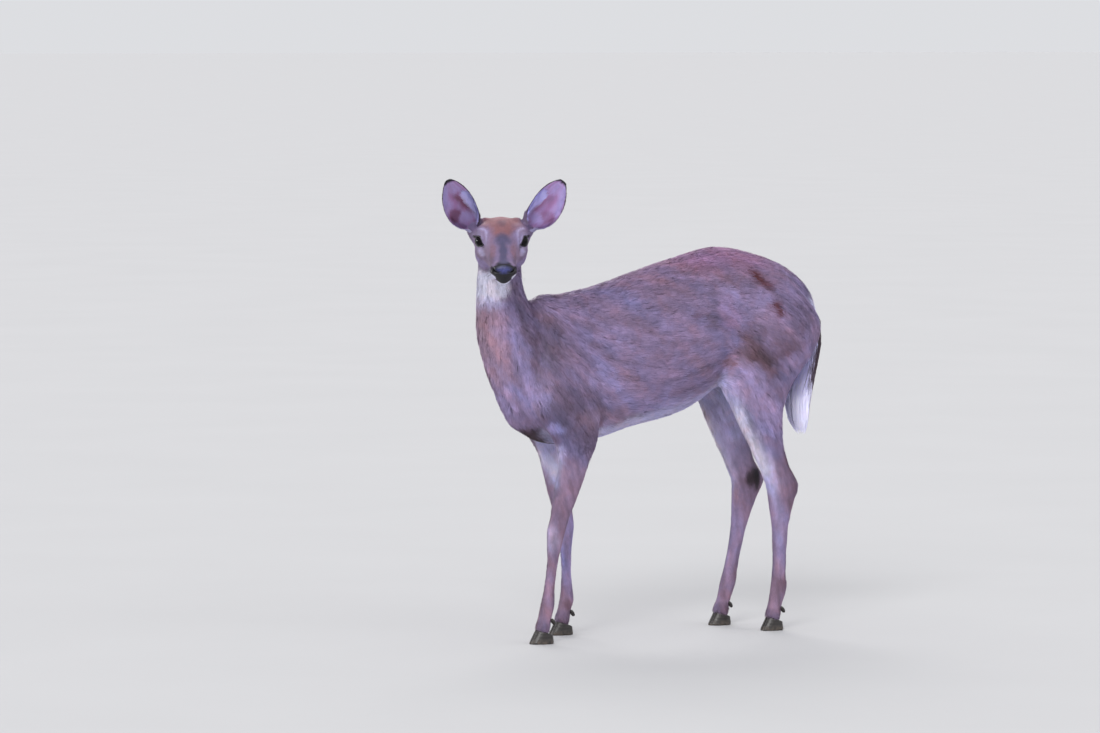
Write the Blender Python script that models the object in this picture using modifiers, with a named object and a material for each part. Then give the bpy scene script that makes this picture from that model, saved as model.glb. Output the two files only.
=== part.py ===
"""A white-tailed doe, life size, standing with its head turned to its left.

The animal faces -X, its left side is -Y and +Z is up; the origin is the middle of the box at floor level.
The flesh is lofted and modelled whole, then parted into head, neck, trunk, tail and legs by thin cuts.
Ears, eyes, hooves and dewclaws are pieces of their own that meet the flesh face to face.
"""

import math
from dataclasses import dataclass

import bmesh
import bpy
import numpy as np
from mathutils import Matrix, Vector

# ---------------------------------------------------------------- driving dimensions, in metres
GAP = 0.0003  # between pieces that meet
FACETS = 5450  # of the flesh, before it is parted
CLAY = 0.003  # size of the modelling grid that fuses the lofted forms

LEFT, RIGHT = -1, 1  # sides of the body, as signs of Y
SIDE_NAME = {LEFT: "left", RIGHT: "right"}

X, Y, Z = Vector((1, 0, 0)), Vector((0, 1, 0)), Vector((0, 0, 1))

# The head: the point midway between the eyes, and the way the face points
EYES_MIDDLE = Vector((-0.491, -0.075, 0.9515))
HEAD_TURN = math.radians(64)  # to the left of straight ahead
HEAD_DROP = math.radians(17)  # nose below level
EYE_PLACE = (0.004, 0.0455, 0.0055)  # forward, outward and up from the point between the eyes
EYE_RADIUS = 0.0165

# The ears: where each leaves the skull and where its tip points, in the head's frame, outward being positive
EAR_ROOT = (-0.050, 0.066, 0.026)
EAR_TIP = {LEFT: (-0.066, 0.147, 0.131), RIGHT: (-0.034, 0.127, 0.1445)}
EAR_SHELL = 0.0035
EAR_STALK = [(-0.042, 0.022, 0.026), (-0.020, 0.023, 0.024), (0.000, 0.0215, 0.020), (0.012, 0.0200, 0.018)]

# Hooves: half length and width of one claw's sole, and the coronet's height and slope
CLAW_HALF_LENGTH, CLAW_WIDTH = 0.029, 0.0195
CORONET, CORONET_SLOPE = 0.030, 0.36
CLEFT = 0.0015  # from the foot's middle plane to a claw's inner wall
FORE_Y, HIND_Y = 0.075, 0.082  # from the middle plane to a foot

# Joint places (X, Z) down each leg's middle line; the pairs differ below elbow and hock because the doe is mid-shift
FORE_LINE = {
    LEFT: [(-0.320, 0.76), (-0.318, 0.58), (-0.2885, 0.46), (-0.346, 0.262), (-0.369, 0.085), (-0.3860, 0.024)],
    RIGHT: [(-0.320, 0.76), (-0.318, 0.58), (-0.2700, 0.46), (-0.238, 0.262), (-0.233, 0.085), (-0.2510, 0.024)],
}
HIND_LINE = {
    LEFT: [(0.250, 0.86), (0.266, 0.74), (0.205, 0.58), (0.271, 0.355), (0.265, 0.100), (0.2450, 0.024)],
    RIGHT: [(0.250, 0.86), (0.266, 0.74), (0.208, 0.58), (0.276, 0.355), (0.219, 0.100), (0.1950, 0.024)],
}


# ---------------------------------------------------------------- materials
def material(name, colour, roughness):
    """A Principled material with one colour."""
    made = bpy.data.materials.new(name)
    made.use_nodes = True
    shader = made.node_tree.nodes["Principled BSDF"]
    shader.inputs["Base Color"].default_value = (*colour, 1)
    shader.inputs["Roughness"].default_value = roughness
    shader.inputs["Metallic"].default_value = 0
    return made


# ---------------------------------------------------------------- lofting
@dataclass
class Ring:
    """One cross-section of a loft: its middle, and how far the surface stands from it.

    `side` is half the width, `over` and `under` the reach along the loft's up direction and against it.
    A power of 2 is an ellipse, less is more of a ridge, more is fuller.
    """

    middle: Vector
    side: float
    over: float
    under: float
    over_power: float = 2.0
    under_power: float = 2.0

    def numbers(self):
        return [*self.middle, self.side, self.over, self.under, self.over_power, self.under_power]


def smooth_between(rows, steps):
    """Catmull-Rom curve through rows of numbers, with `steps` points to a span."""
    rows = np.array(rows, float)
    padded = np.vstack([2 * rows[0] - rows[1], rows, 2 * rows[-1] - rows[-2]])
    out = []
    for a, b, c, d in zip(padded[:-3], padded[1:-2], padded[2:-1], padded[3:]):
        for t in np.arange(steps) / steps:
            out.append(0.5 * (2 * b + (c - a) * t + (2 * a - 5 * b + 4 * c - d) * t**2 + (3 * (b - c) + d - a) * t**3))
    return np.array(out + [rows[-1]])


def ring_points(numbers, across, up, sides):
    """Points round one cross-section."""
    middle = Vector(numbers[:3])
    side, over, under, over_power, under_power = numbers[3:]
    points = []
    for k in range(sides):
        turn = 2 * math.pi * k / sides
        c, s = math.cos(turn), math.sin(turn)
        reach, power = (over, over_power) if s >= 0 else (under, under_power)
        points.append(
            middle
            + across * side * math.copysign(abs(c) ** (2 / power), c)
            + up * reach * math.copysign(abs(s) ** (2 / power), s)
        )
    return points


def loft(name, rings, axis, up, steps=4, sides=28):
    """A closed solid through the rings, whose planes are square to `axis`, with domed ends."""
    axis, up = axis.normalized(), (up - axis * up.dot(axis)).normalized()
    across = axis.cross(up)
    rows = smooth_between([ring.numbers() for ring in rings], steps)
    bm = bmesh.new()
    loops = [[bm.verts.new(p) for p in ring_points(row, across, up, sides)] for row in rows]
    for here, there in zip(loops, loops[1:]):
        for k in range(sides):
            bm.faces.new((here[k], here[(k + 1) % sides], there[(k + 1) % sides], there[k]))
    for loop, row, beyond in ((loops[0], rows[0], rows[1]), (loops[-1], rows[-1], rows[-2])):
        middle, inner = Vector(row[:3]), Vector(beyond[:3])
        out = axis * math.copysign(1, (middle - inner).dot(axis))
        bulge = 0.5 * min(row[3], row[4], row[5])
        tip = bm.verts.new(middle + out * bulge)
        dome = [bm.verts.new(middle + (v.co - middle) * 0.75 + out * bulge * 0.7) for v in loop]
        for k in range(sides):
            n = (k + 1) % sides
            bm.faces.new((loop[k], loop[n], dome[n], dome[k]))
            bm.faces.new((dome[k], dome[n], tip))
    bmesh.ops.recalc_face_normals(bm, faces=bm.faces)
    return object_from(bm, name)


def object_from(bm, name):
    mesh = bpy.data.meshes.new(name)
    bm.to_mesh(mesh)
    bm.free()
    made = bpy.data.objects.new(name, mesh)
    bpy.context.scene.collection.objects.link(made)
    return made


def ball(name, place, radii, rotation=None, around=28, rows=18):
    """An ellipsoid of the three radii."""
    bm = bmesh.new()
    bmesh.ops.create_uvsphere(bm, u_segments=around, v_segments=rows, radius=1)
    turn = rotation.to_4x4() if rotation else Matrix.Identity(4)
    bm.transform(Matrix.Translation(place) @ turn @ Matrix.Diagonal((*radii, 1)))
    return object_from(bm, name)


# ---------------------------------------------------------------- the head's own frame
FACE = Vector(
    (-math.cos(HEAD_TURN) * math.cos(HEAD_DROP), -math.sin(HEAD_TURN) * math.cos(HEAD_DROP), -math.sin(HEAD_DROP))
)
HEAD_LEFT = Vector((math.sin(HEAD_TURN), -math.cos(HEAD_TURN), 0))
HEAD_UP = FACE.cross(HEAD_LEFT)
HEAD_AXES = Matrix((FACE, HEAD_LEFT, HEAD_UP)).transposed()


def in_head(forward, left, up):
    """A place given in the head's frame, from the point between the eyes."""
    return EYES_MIDDLE + HEAD_AXES @ Vector((forward, left, up))


# ---------------------------------------------------------------- flesh
def trunk():
    """Chest, ribs, belly, loin and rump, in upright sections from front to back."""
    # place along X, back line, height of the widest part, belly line, half width
    sections = [
        (-0.395, 0.789, 0.610, 0.492, 0.052),
        (-0.355, 0.815, 0.625, 0.472, 0.076),
        (-0.290, 0.828, 0.640, 0.464, 0.090),
        (-0.200, 0.845, 0.650, 0.474, 0.097),
        (-0.100, 0.874, 0.670, 0.501, 0.109),
        (0.000, 0.903, 0.690, 0.521, 0.112),
        (0.075, 0.917, 0.720, 0.552, 0.104),
        (0.145, 0.925, 0.760, 0.600, 0.090),
        (0.215, 0.918, 0.780, 0.640, 0.086),
        (0.290, 0.896, 0.765, 0.660, 0.080),
        (0.350, 0.866, 0.750, 0.670, 0.066),
        (0.392, 0.828, 0.735, 0.680, 0.044),
    ]
    rings = [
        Ring(Vector((x, 0, wide)), half, back - wide, wide - belly, 1.75, 2.1)
        for x, back, wide, belly, half in sections
    ]
    return loft("trunk", rings, X, Z)


def neck():
    """Neck from the chest to the back of the head, deeper than wide, its crest towards the back."""
    # height, X of the throat line, X of the crest, half width, Y of the middle
    sections = [
        (0.515, -0.432, -0.300, 0.040, 0.000),
        (0.560, -0.455, -0.290, 0.056, 0.000),
        (0.610, -0.477, -0.285, 0.066, 0.000),
        (0.670, -0.499, -0.300, 0.067, 0.000),
        (0.730, -0.515, -0.340, 0.060, 0.000),
        (0.790, -0.517, -0.380, 0.050, 0.000),
        (0.850, -0.516, -0.399, 0.045, -0.002),
        (0.905, -0.515, -0.402, 0.044, -0.006),
        (0.950, -0.510, -0.412, 0.042, -0.012),
    ]
    rings = [
        Ring(Vector(((throat + crest) / 2, y, z)), half, (crest - throat) / 2, (crest - throat) / 2)
        for z, throat, crest, half, y in sections
    ]
    return loft("neck", rings, Z, X)


def head():
    """Skull, cheeks, muzzle and chin, in sections square to the line from poll to nose."""
    # place along the face, top, bottom, half width
    sections = [
        (-0.092, 0.032, -0.045, 0.038),
        (-0.064, 0.043, -0.062, 0.049),
        (-0.030, 0.047, -0.071, 0.054),
        (0.000, 0.045, -0.070, 0.050),
        (0.030, 0.036, -0.064, 0.043),
        (0.060, 0.023, -0.057, 0.036),
        (0.090, 0.012, -0.051, 0.0315),
        (0.116, 0.004, -0.049, 0.0295),
        (0.138, -0.004, -0.047, 0.0265),
    ]
    rings = [
        Ring(in_head(along, 0, (top + bottom) / 2), half, (top - bottom) / 2, (top - bottom) / 2, 2.3, 1.9)
        for along, top, bottom, half in sections
    ]
    pieces = [loft("skull", rings, FACE, HEAD_UP)]
    # middle of each form (forward, outward, up) and its radii; outward 0 is a form on the middle plane
    middle_forms = [
        ((0.140, 0.000, -0.018), (0.0150, 0.0305, 0.0190)),  # nose pad
        ((0.121, 0.000, -0.046), (0.0210, 0.0200, 0.0130)),  # chin
    ]
    paired_forms = [
        ((-0.016, 0.037, 0.020), (0.038, 0.027, 0.020)),  # brow
        ((-0.032, 0.045, 0.002), (0.026, 0.0250, 0.026)),  # temple
        ((-0.050, 0.044, 0.026), (0.026, 0.0260, 0.022)),  # ear muscle
        ((-0.008, 0.038, -0.021), (0.048, 0.0260, 0.020)),  # cheekbone
        ((-0.026, 0.035, -0.036), (0.046, 0.0275, 0.034)),  # jaw muscle
        ((0.135, 0.017, -0.016), (0.015, 0.0140, 0.0135)),  # nostril
        ((0.108, 0.015, -0.027), (0.034, 0.0165, 0.018)),  # upper lip
    ]
    for place, radii in middle_forms:
        pieces.append(ball("form", in_head(*place), radii, HEAD_AXES))
    for side in (LEFT, RIGHT):
        for (forward, outward, up), radii in paired_forms:
            pieces.append(ball("form", in_head(forward, -side * outward, up), radii, HEAD_AXES))
        root, tip = ear_line(side)
        rise = (tip - root).normalized()
        stalk = [Ring(root + rise * at, wide, deep, deep) for at, wide, deep in EAR_STALK]
        pieces.append(loft("ear_root", stalk, rise, FACE, sides=20))
    return pieces


def along_line(line, height):
    """X of a leg's middle line at a height, straight between its joints."""
    places = sorted((z, x) for x, z in line)
    return float(np.interp(height, [z for z, _ in places], [x for _, x in places]))


def foreleg(side):
    """Shoulder blade, upper arm, forearm, knee, cannon, fetlock and pastern."""
    # height, half the depth from front to back, half width, distance of the middle from the middle plane
    sections = [
        (0.770, 0.045, 0.022, 0.036),
        (0.720, 0.068, 0.034, 0.048),
        (0.650, 0.080, 0.042, 0.058),
        (0.580, 0.090, 0.044, 0.066),
        (0.525, 0.078, 0.040, 0.072),
        (0.475, 0.057, 0.033, 0.077),
        (0.430, 0.042, 0.0265, 0.078),
        (0.380, 0.0385, 0.0235, 0.078),
        (0.335, 0.0330, 0.0205, 0.077),
        (0.298, 0.0265, 0.0195, 0.076),
        (0.265, 0.0245, 0.0210, 0.075),
        (0.236, 0.0210, 0.0185, 0.075),
        (0.200, 0.0160, 0.0145, 0.075),
        (0.150, 0.0145, 0.0135, 0.075),
        (0.112, 0.0165, 0.0155, 0.075),
        (0.086, 0.0195, 0.0175, 0.075),
        (0.060, 0.0175, 0.0165, 0.075),
        (0.038, 0.0190, 0.0195, 0.075),
        (0.020, 0.0200, 0.0205, 0.075),
    ]
    line = FORE_LINE[side]
    rings = [Ring(Vector((along_line(line, z), side * y, z)), half, deep, deep) for z, deep, half, y in sections]
    return loft("foreleg", rings, Z, X, sides=20)


def hindleg(side):
    """Haunch, gaskin, hock, cannon, fetlock and pastern."""
    # height, reach forward and back from the middle line, half width, distance from the middle plane
    sections = [
        (0.850, 0.070, 0.070, 0.036, 0.036),
        (0.800, 0.105, 0.105, 0.048, 0.050),
        (0.740, 0.130, 0.132, 0.054, 0.058),
        (0.670, 0.122, 0.135, 0.054, 0.064),
        (0.600, 0.108, 0.102, 0.048, 0.071),
        (0.540, 0.083, 0.063, 0.039, 0.078),
        (0.470, 0.070, 0.036, 0.030, 0.083),
        (0.410, 0.056, 0.033, 0.0240, 0.085),
        (0.375, 0.050, 0.043, 0.0210, 0.085),
        (0.352, 0.045, 0.050, 0.0205, 0.085),
        (0.325, 0.038, 0.044, 0.0205, 0.085),
        (0.290, 0.031, 0.032, 0.0190, 0.084),
        (0.245, 0.0225, 0.0235, 0.0170, 0.083),
        (0.180, 0.0185, 0.0195, 0.0155, 0.082),
        (0.130, 0.0195, 0.0200, 0.0165, 0.082),
        (0.098, 0.0215, 0.0220, 0.0185, 0.082),
        (0.066, 0.0185, 0.0185, 0.0170, 0.082),
        (0.040, 0.0195, 0.0195, 0.0195, 0.082),
        (0.020, 0.0200, 0.0200, 0.0205, 0.082),
    ]
    line = HIND_LINE[side]
    rings = [
        Ring(Vector((along_line(line, z), side * y, z)), half, back, front)
        for z, front, back, half, y in sections
    ]
    return loft("hindleg", rings, Z, X, sides=20)


def tail():
    """Hanging tail with its long hair: broad, flat, and thinning to a soft tip."""
    # height, X of the middle, half thickness, half width
    sections = [
        (0.790, 0.385, 0.020, 0.024),
        (0.745, 0.402, 0.023, 0.034),
        (0.690, 0.401, 0.024, 0.042),
        (0.640, 0.388, 0.024, 0.048),
        (0.590, 0.374, 0.024, 0.051),
        (0.540, 0.367, 0.022, 0.048),
        (0.500, 0.370, 0.016, 0.036),
        (0.472, 0.377, 0.008, 0.018),
    ]
    rings = [Ring(Vector((x, 0, z)), half, thick, thick) for z, x, thick, half in sections]
    return loft("tail", rings, Z, X, steps=2, sides=12)


# ---------------------------------------------------------------- ears, eyes and feet
def ear_line(side):
    """Root and tip of an ear."""
    forward, outward, up = EAR_ROOT
    root = in_head(forward, -side * outward, up)
    forward, outward, up = EAR_TIP[side]
    return root, in_head(forward, -side * outward, up)


def ear(side):
    """A cupped leaf: each section is a crescent, nearly a tube at the root and nearly flat at the tip."""
    # share of the length, half width, half angle of the crescent in degrees, shift outward
    sections = [
        (0.000, 0.0200, 150, 0.0000),
        (0.090, 0.0260, 125, 0.0020),
        (0.220, 0.0330, 100, 0.0040),
        (0.380, 0.0370, 80, 0.0045),
        (0.540, 0.0365, 68, 0.0035),
        (0.700, 0.0315, 60, 0.0020),
        (0.840, 0.0225, 52, 0.0005),
        (0.935, 0.0135, 46, 0.0000),
        (0.990, 0.0060, 40, 0.0000),
    ]
    root, tip = ear_line(side)
    rise = (tip - root).normalized()
    mouth = (FACE - rise * FACE.dot(rise)).normalized()
    across = rise.cross(mouth)
    out = across * math.copysign(1, across.dot(-side * HEAD_LEFT))
    turns = [k / 4 - 1 for k in range(9)]
    bm = bmesh.new()
    loops = []
    for share, half, angle, shift in sections:
        spread = math.radians(angle)
        outer = half / math.sin(min(spread, math.pi / 2))
        middle = root + rise * GAP + (tip - root) * share
        middle += out * shift + mouth * (outer * (1 + math.cos(spread)) / 2)
        crescent = [(outer, turn * spread) for turn in turns]
        crescent += [(outer - EAR_SHELL, turn * spread * 0.96) for turn in reversed(turns)]
        loops.append(
            [bm.verts.new(middle - mouth * r * math.cos(t) + across * r * math.sin(t)) for r, t in crescent]
        )
    close_loft(bm, loops)
    return object_from(bm, f"ear_{SIDE_NAME[side]}")


def close_loft(bm, loops):
    """Skins the loops in order and closes both ends."""
    count = len(loops[0])
    for here, there in zip(loops, loops[1:]):
        for k in range(count):
            bm.faces.new((here[k], here[(k + 1) % count], there[(k + 1) % count], there[k]))
    ends = [bm.faces.new(loops[0]), bm.faces.new(loops[-1])]
    bmesh.ops.triangulate(bm, faces=ends)
    bmesh.ops.recalc_face_normals(bm, faces=bm.faces)


def eye_place(side):
    forward, outward, up = EYE_PLACE
    return in_head(forward, -side * outward, up)


def feet():
    """Each foot as its name, the side it is on, the middle of its sole, and the size of its claws."""
    for line, name, y, size in ((FORE_LINE, "fore", FORE_Y, 1.0), (HIND_LINE, "hind", HIND_Y, 0.96)):
        for side in (LEFT, RIGHT):
            yield f"{name}_{SIDE_NAME[side]}", side, Vector((line[side][-1][0], side * y, 0)), size


def claw(name, sole, size, outward):
    """One half of a hoof, flat below and on its inner wall, its top sloping back and down from the coronet."""
    # height of the section or None for the sloping top, half length, width, shift back of its middle
    sections = [
        (0.0, CLAW_HALF_LENGTH, CLAW_WIDTH, 0.000),
        (0.004, CLAW_HALF_LENGTH * 1.02, CLAW_WIDTH * 1.03, 0.001),
        (None, CLAW_HALF_LENGTH * 0.68, CLAW_WIDTH * 0.95, 0.008),
    ]
    bm = bmesh.new()
    loops = []
    for height, half, width, back in sections:
        outline = []
        for k in range(9):
            turn = math.pi * k / 8
            taper = 1 - 0.22 * math.cos(turn)
            outline.append((half * math.cos(turn), width * math.sin(turn) ** 0.75 * taper))
        outline += [(half * part, 0.0) for part in (-0.5, 0.0, 0.5)]
        loop = []
        for ahead, aside in outline:
            x = size * (back - ahead)
            up = coronet_height(x) - GAP if height is None else height
            loop.append(bm.verts.new(sole + Vector((x, outward * (CLEFT + size * aside), up))))
        loops.append(loop)
    close_loft(bm, loops)
    return object_from(bm, name)


def coronet_height(x):
    """Height where hoof meets hide, at a distance behind the middle of the sole."""
    return CORONET - CORONET_SLOPE * x


def dewclaw(name, sole, size, outward, grown=0.0):
    """A small horny claw behind the pastern."""
    place = sole + Vector((0.026, outward * 0.0125, 0.052)) * size
    lean = Matrix.Rotation(math.radians(-35), 3, "Y")
    return ball(name, place, (0.0055 + grown, 0.0060 + grown, 0.0105 + grown), lean, 8, 4)


# ---------------------------------------------------------------- parting the flesh
def slab(place, tilt, size):
    """A thin box: `tilt` turns its flat faces, which start level."""
    bm = bmesh.new()
    bmesh.ops.create_cube(bm, size=1)
    bm.transform(Matrix.Translation(place) @ tilt.to_4x4() @ Matrix.Diagonal((*size, 1)))
    return object_from(bm, "slab")


def level_to(normal):
    """Rotation that carries +Z to a direction."""
    return Z.rotation_difference(normal.normalized()).to_matrix()


def cutters():
    """Thin slabs that part the flesh, and the room that eyes, ears, hooves and dewclaws take."""
    yield slab(Vector((-0.468, 0.002, 0.893)), level_to(Vector((-0.20, -0.42, 0.87))), (0.20, 0.19, GAP))
    yield slab(Vector((-0.418, 0, 0.700)), level_to(Vector((-0.26, 0, 0.14))), (0.34, 0.32, GAP))
    for side in (LEFT, RIGHT):
        yield slab(Vector((-0.300, side * 0.080, 0.452)), level_to(Z), (0.24, 0.15, GAP))
        yield slab(Vector((0.215, side * 0.085, 0.585)), level_to(Vector((-0.44, 0, 1.0))), (0.32, 0.16, GAP))
        yield ball("socket", eye_place(side), [EYE_RADIUS + GAP] * 3, HEAD_AXES, 16, 8)
        root, tip = ear_line(side)
        rise = (tip - root).normalized()
        yield slab(root + rise * 0.02, level_to(rise), (0.06, 0.06, 0.04))
    for name, _, sole, size in feet():
        top = Vector((CORONET_SLOPE, 0, 1)).normalized()
        yield slab(sole + Z * CORONET - top * 0.03, level_to(top), (0.10, 0.07, 0.06))
        for outward in (LEFT, RIGHT):
            yield dewclaw("room", sole, size, outward, GAP)


def flesh():
    """The whole animal's lofted forms fused, smoothed, and brought down to its facets, densest at head and feet."""
    pieces = [trunk(), neck(), *head()]
    for side in (LEFT, RIGHT):
        pieces += [foreleg(side), hindleg(side)]
    clay = joined("clay", pieces)
    fuse = clay.modifiers.new("fuse", "REMESH")
    fuse.mode = "VOXEL"
    fuse.voxel_size = CLAY
    clay = evaluated_copy(clay, "clay")
    detail = clay.vertex_groups.new(name="coarse")
    bulk = clay.vertex_groups.new(name="bulk")
    for vertex in clay.data.vertices:
        detail.add([vertex.index], coarseness(vertex.co), "REPLACE")
        bulk.add([vertex.index], bulkiness(vertex.co), "REPLACE")
    for iterations, group in ((12, ""), (70, bulk.name)):
        smooth = clay.modifiers.new("smooth", "SMOOTH")
        smooth.factor = 0.5
        smooth.iterations = iterations
        smooth.vertex_group = group
    facet = clay.modifiers.new("facet", "DECIMATE")
    facet.ratio = FACETS / (2 * len(clay.data.polygons))
    facet.vertex_group = detail.name
    facet.vertex_group_factor = 1.0
    return evaluated_copy(clay, "flesh")


def bulkiness(place):
    """How much the forms melt together here: fully on the trunk, not at all on the face and the lower legs."""
    from_face = (place - EYES_MIDDLE).length
    off_face = min(1.0, max(0.12, (from_face - 0.08) / 0.12))
    return off_face * min(1.0, max(0.0, (place.z - 0.40) / 0.12))


def coarseness(place):
    """How freely facets may merge here: least on the head, which has the finest forms."""
    if (place - EYES_MIDDLE).length < 0.20:
        return 0.65
    return 0.88 if place.z > 0.5 else 0.84


def islands(source):
    """Splits an object into one mesh object for each closed body in it."""
    bm = bmesh.new()
    bm.from_mesh(source.data)
    seen = set()
    for start in bm.verts:
        if start in seen:
            continue
        body, edge = {start}, [start]
        while edge:
            for link in edge.pop().link_edges:
                for vertex in link.verts:
                    if vertex not in body:
                        body.add(vertex)
                        edge.append(vertex)
        seen |= body
        part = bm.copy()
        keep = {vertex.index for vertex in body}
        bmesh.ops.delete(part, geom=[v for v in part.verts if v.index not in keep], context="VERTS")
        yield object_from(part, "part")
    bm.free()
    bpy.data.objects.remove(source)


# A point inside each part of the flesh, by which it is known
PART_PLACES = {
    "head": EYES_MIDDLE,
    "neck": Vector((-0.45, 0, 0.76)),
    "trunk": Vector((0, 0, 0.72)),
    "foreleg_left": Vector((-0.34, -0.075, 0.25)),
    "foreleg_right": Vector((-0.25, 0.075, 0.25)),
    "hindleg_left": Vector((0.24, -0.08, 0.33)),
    "hindleg_right": Vector((0.24, 0.08, 0.33)),
}


def part_flesh(whole):
    """Cuts the flesh and names what comes of it."""
    used = list(cutters())
    for cutter in used:
        cut = whole.modifiers.new("cut", "BOOLEAN")
        cut.operation, cut.solver, cut.object = "DIFFERENCE", "EXACT", cutter
    parted = evaluated_copy(whole, "parted")
    for cutter in used:
        bpy.data.objects.remove(cutter)
    for part in islands(parted):
        corners = [Vector(corner) for corner in part.bound_box]
        middle = sum(corners, Vector()) / 8
        part.name = min(PART_PLACES, key=lambda name: (PART_PLACES[name] - middle).length)
        yield part


def tail_on(body):
    """The tail, hollowed where it lies against the rump."""
    grown = body.copy()
    bpy.context.scene.collection.objects.link(grown)
    swell = grown.modifiers.new("swell", "DISPLACE")
    swell.strength, swell.mid_level = GAP, 0.0
    hanging = tail()
    fit = hanging.modifiers.new("fit", "BOOLEAN")
    fit.operation, fit.solver, fit.object = "DIFFERENCE", "EXACT", grown
    made = evaluated_copy(hanging, "tail")
    bpy.data.objects.remove(grown)
    biggest = max(islands(made), key=lambda part: len(part.data.vertices))
    biggest.name = "tail"
    return biggest


# ---------------------------------------------------------------- assembly
def evaluated_copy(source, name):
    """The object as its modifiers leave it, as a plain mesh object, and the source removed."""
    graph = bpy.context.evaluated_depsgraph_get()
    mesh = bpy.data.meshes.new_from_object(source.evaluated_get(graph))
    bpy.data.objects.remove(source)
    made = bpy.data.objects.new(name, mesh)
    bpy.context.scene.collection.objects.link(made)
    return made


def joined(name, pieces):
    """One object that holds the meshes of all the pieces."""
    bm = bmesh.new()
    for piece in pieces:
        bm.from_mesh(piece.data)
        bpy.data.objects.remove(piece)
    return object_from(bm, name)


def settle(pieces):
    """Moves everything along the floor until the middle of its box is over the origin."""
    points = np.array([vertex.co for piece in pieces for vertex in piece.data.vertices])
    middle = (points.min(axis=0) + points.max(axis=0)) / 2
    for piece in pieces:
        piece.data.transform(Matrix.Translation((-middle[0], -middle[1], 0)))


def main():
    for old in list(bpy.data.objects):
        bpy.data.objects.remove(old)
    coat = material("coat", (0.30, 0.21, 0.16), 0.9)
    eye = material("eye", (0.01, 0.008, 0.006), 0.1)
    horn = material("horn", (0.03, 0.027, 0.025), 0.5)

    whole = flesh()
    dressed = [(tail_on(whole), coat)]
    dressed += [(part, coat) for part in part_flesh(whole)]
    dressed += [(ear(side), coat) for side in (LEFT, RIGHT)]
    for side in (LEFT, RIGHT):
        name = f"eye_{SIDE_NAME[side]}"
        dressed.append((ball(name, eye_place(side), [EYE_RADIUS] * 3, HEAD_AXES, 16, 8), eye))
    for foot, _, sole, size in feet():
        for outward in (LEFT, RIGHT):
            which = "a" if outward == LEFT else "b"
            dressed.append((claw(f"hoof_{foot}_{which}", sole, size, outward), horn))
            dressed.append((dewclaw(f"dewclaw_{foot}_{which}", sole, size, outward), horn))
    settle([made for made, _ in dressed])
    doe = bpy.data.collections.new("white_tailed_doe")
    bpy.context.scene.collection.children.link(doe)
    for made, finish in dressed:
        bpy.context.scene.collection.objects.unlink(made)
        doe.objects.link(made)
        made.data.materials.clear()
        made.data.materials.append(finish)
        made.data.shade_smooth()


if __name__ == "__main__":
    main()
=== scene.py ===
"""A life-size white-tailed doe in moulting winter coat, standing with her head turned to her left.

One skin replaces the flesh of the fixed frame and lies inside it by the depth of the coat. The coat is
solid blades of hair rooted on that skin. Lengths are in metres; +Z is up and the doe faces -X.
"""

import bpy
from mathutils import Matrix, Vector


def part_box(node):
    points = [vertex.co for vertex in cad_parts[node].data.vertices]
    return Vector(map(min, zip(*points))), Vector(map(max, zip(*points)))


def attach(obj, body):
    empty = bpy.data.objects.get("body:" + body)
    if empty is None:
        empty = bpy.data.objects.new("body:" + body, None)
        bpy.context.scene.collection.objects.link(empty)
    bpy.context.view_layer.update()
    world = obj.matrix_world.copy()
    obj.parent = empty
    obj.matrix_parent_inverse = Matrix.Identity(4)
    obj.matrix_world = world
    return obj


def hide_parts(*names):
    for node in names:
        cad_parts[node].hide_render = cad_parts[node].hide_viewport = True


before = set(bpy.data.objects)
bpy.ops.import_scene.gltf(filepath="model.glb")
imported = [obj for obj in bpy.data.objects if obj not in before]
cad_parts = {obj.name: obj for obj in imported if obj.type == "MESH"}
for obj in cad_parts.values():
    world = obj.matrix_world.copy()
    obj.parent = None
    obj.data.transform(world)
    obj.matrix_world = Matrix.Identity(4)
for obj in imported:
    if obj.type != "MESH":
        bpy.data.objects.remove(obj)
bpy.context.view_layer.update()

import logging
import math
from dataclasses import dataclass, fields
from enum import Enum
from functools import cached_property

import bmesh
import bpy
import numpy as np
from mathutils import Vector
from mathutils.bvhtree import BVHTree
from mathutils.kdtree import KDTree

LOG = logging.getLogger("doe")
BAKE_MAP = "OFBake"
BODY = "root"
MIDDLE_Y = (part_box("trunk")[0].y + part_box("trunk")[1].y) / 2  # the body's middle plane
Array = np.ndarray
Mesh = bpy.types.Mesh
Object = bpy.types.Object
Chance = np.random.Generator
Point = tuple[float, float, float]
Table = tuple[tuple[float, ...], ...]


# --- numbers
def ease(value: Array, low: float, high: float) -> Array:
    """A smooth step from 0 at low to 1 at high, which may be the lesser of the two.

    Args:
        value: numbers to read.
        low: where the step begins.
        high: where the step ends.

    Returns:
        The step at each value.
    """
    part = np.clip((value - low) / (high - low), 0, 1)
    return part * part * (3 - 2 * part)


def unit(vectors: Array) -> Array:
    """The vectors, each made one long."""
    return vectors / np.maximum(np.linalg.norm(vectors, axis=-1, keepdims=True), 1e-12)


def along_surface(vectors: Array, normals: Array) -> Array:
    """The part of each vector that lies square to its normal, made one long."""
    return unit(vectors - normals * (vectors * normals).sum(1, keepdims=True))


def from_line(places: Array, line: Array) -> Array:
    """Distance of each place from a line of straight stretches.

    Args:
        places: the places, one a row.
        line: the corners of the line, one a row.

    Returns:
        One distance for each place.
    """
    nearest = np.full(len(places), np.inf)
    for start, end in zip(line[:-1], line[1:]):
        run = end - start
        part = np.clip((places - start) @ run / (run @ run), 0, 1)
        nearest = np.minimum(nearest, np.linalg.norm(places - start - part[:, None] * run, axis=1))
    return nearest


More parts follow.
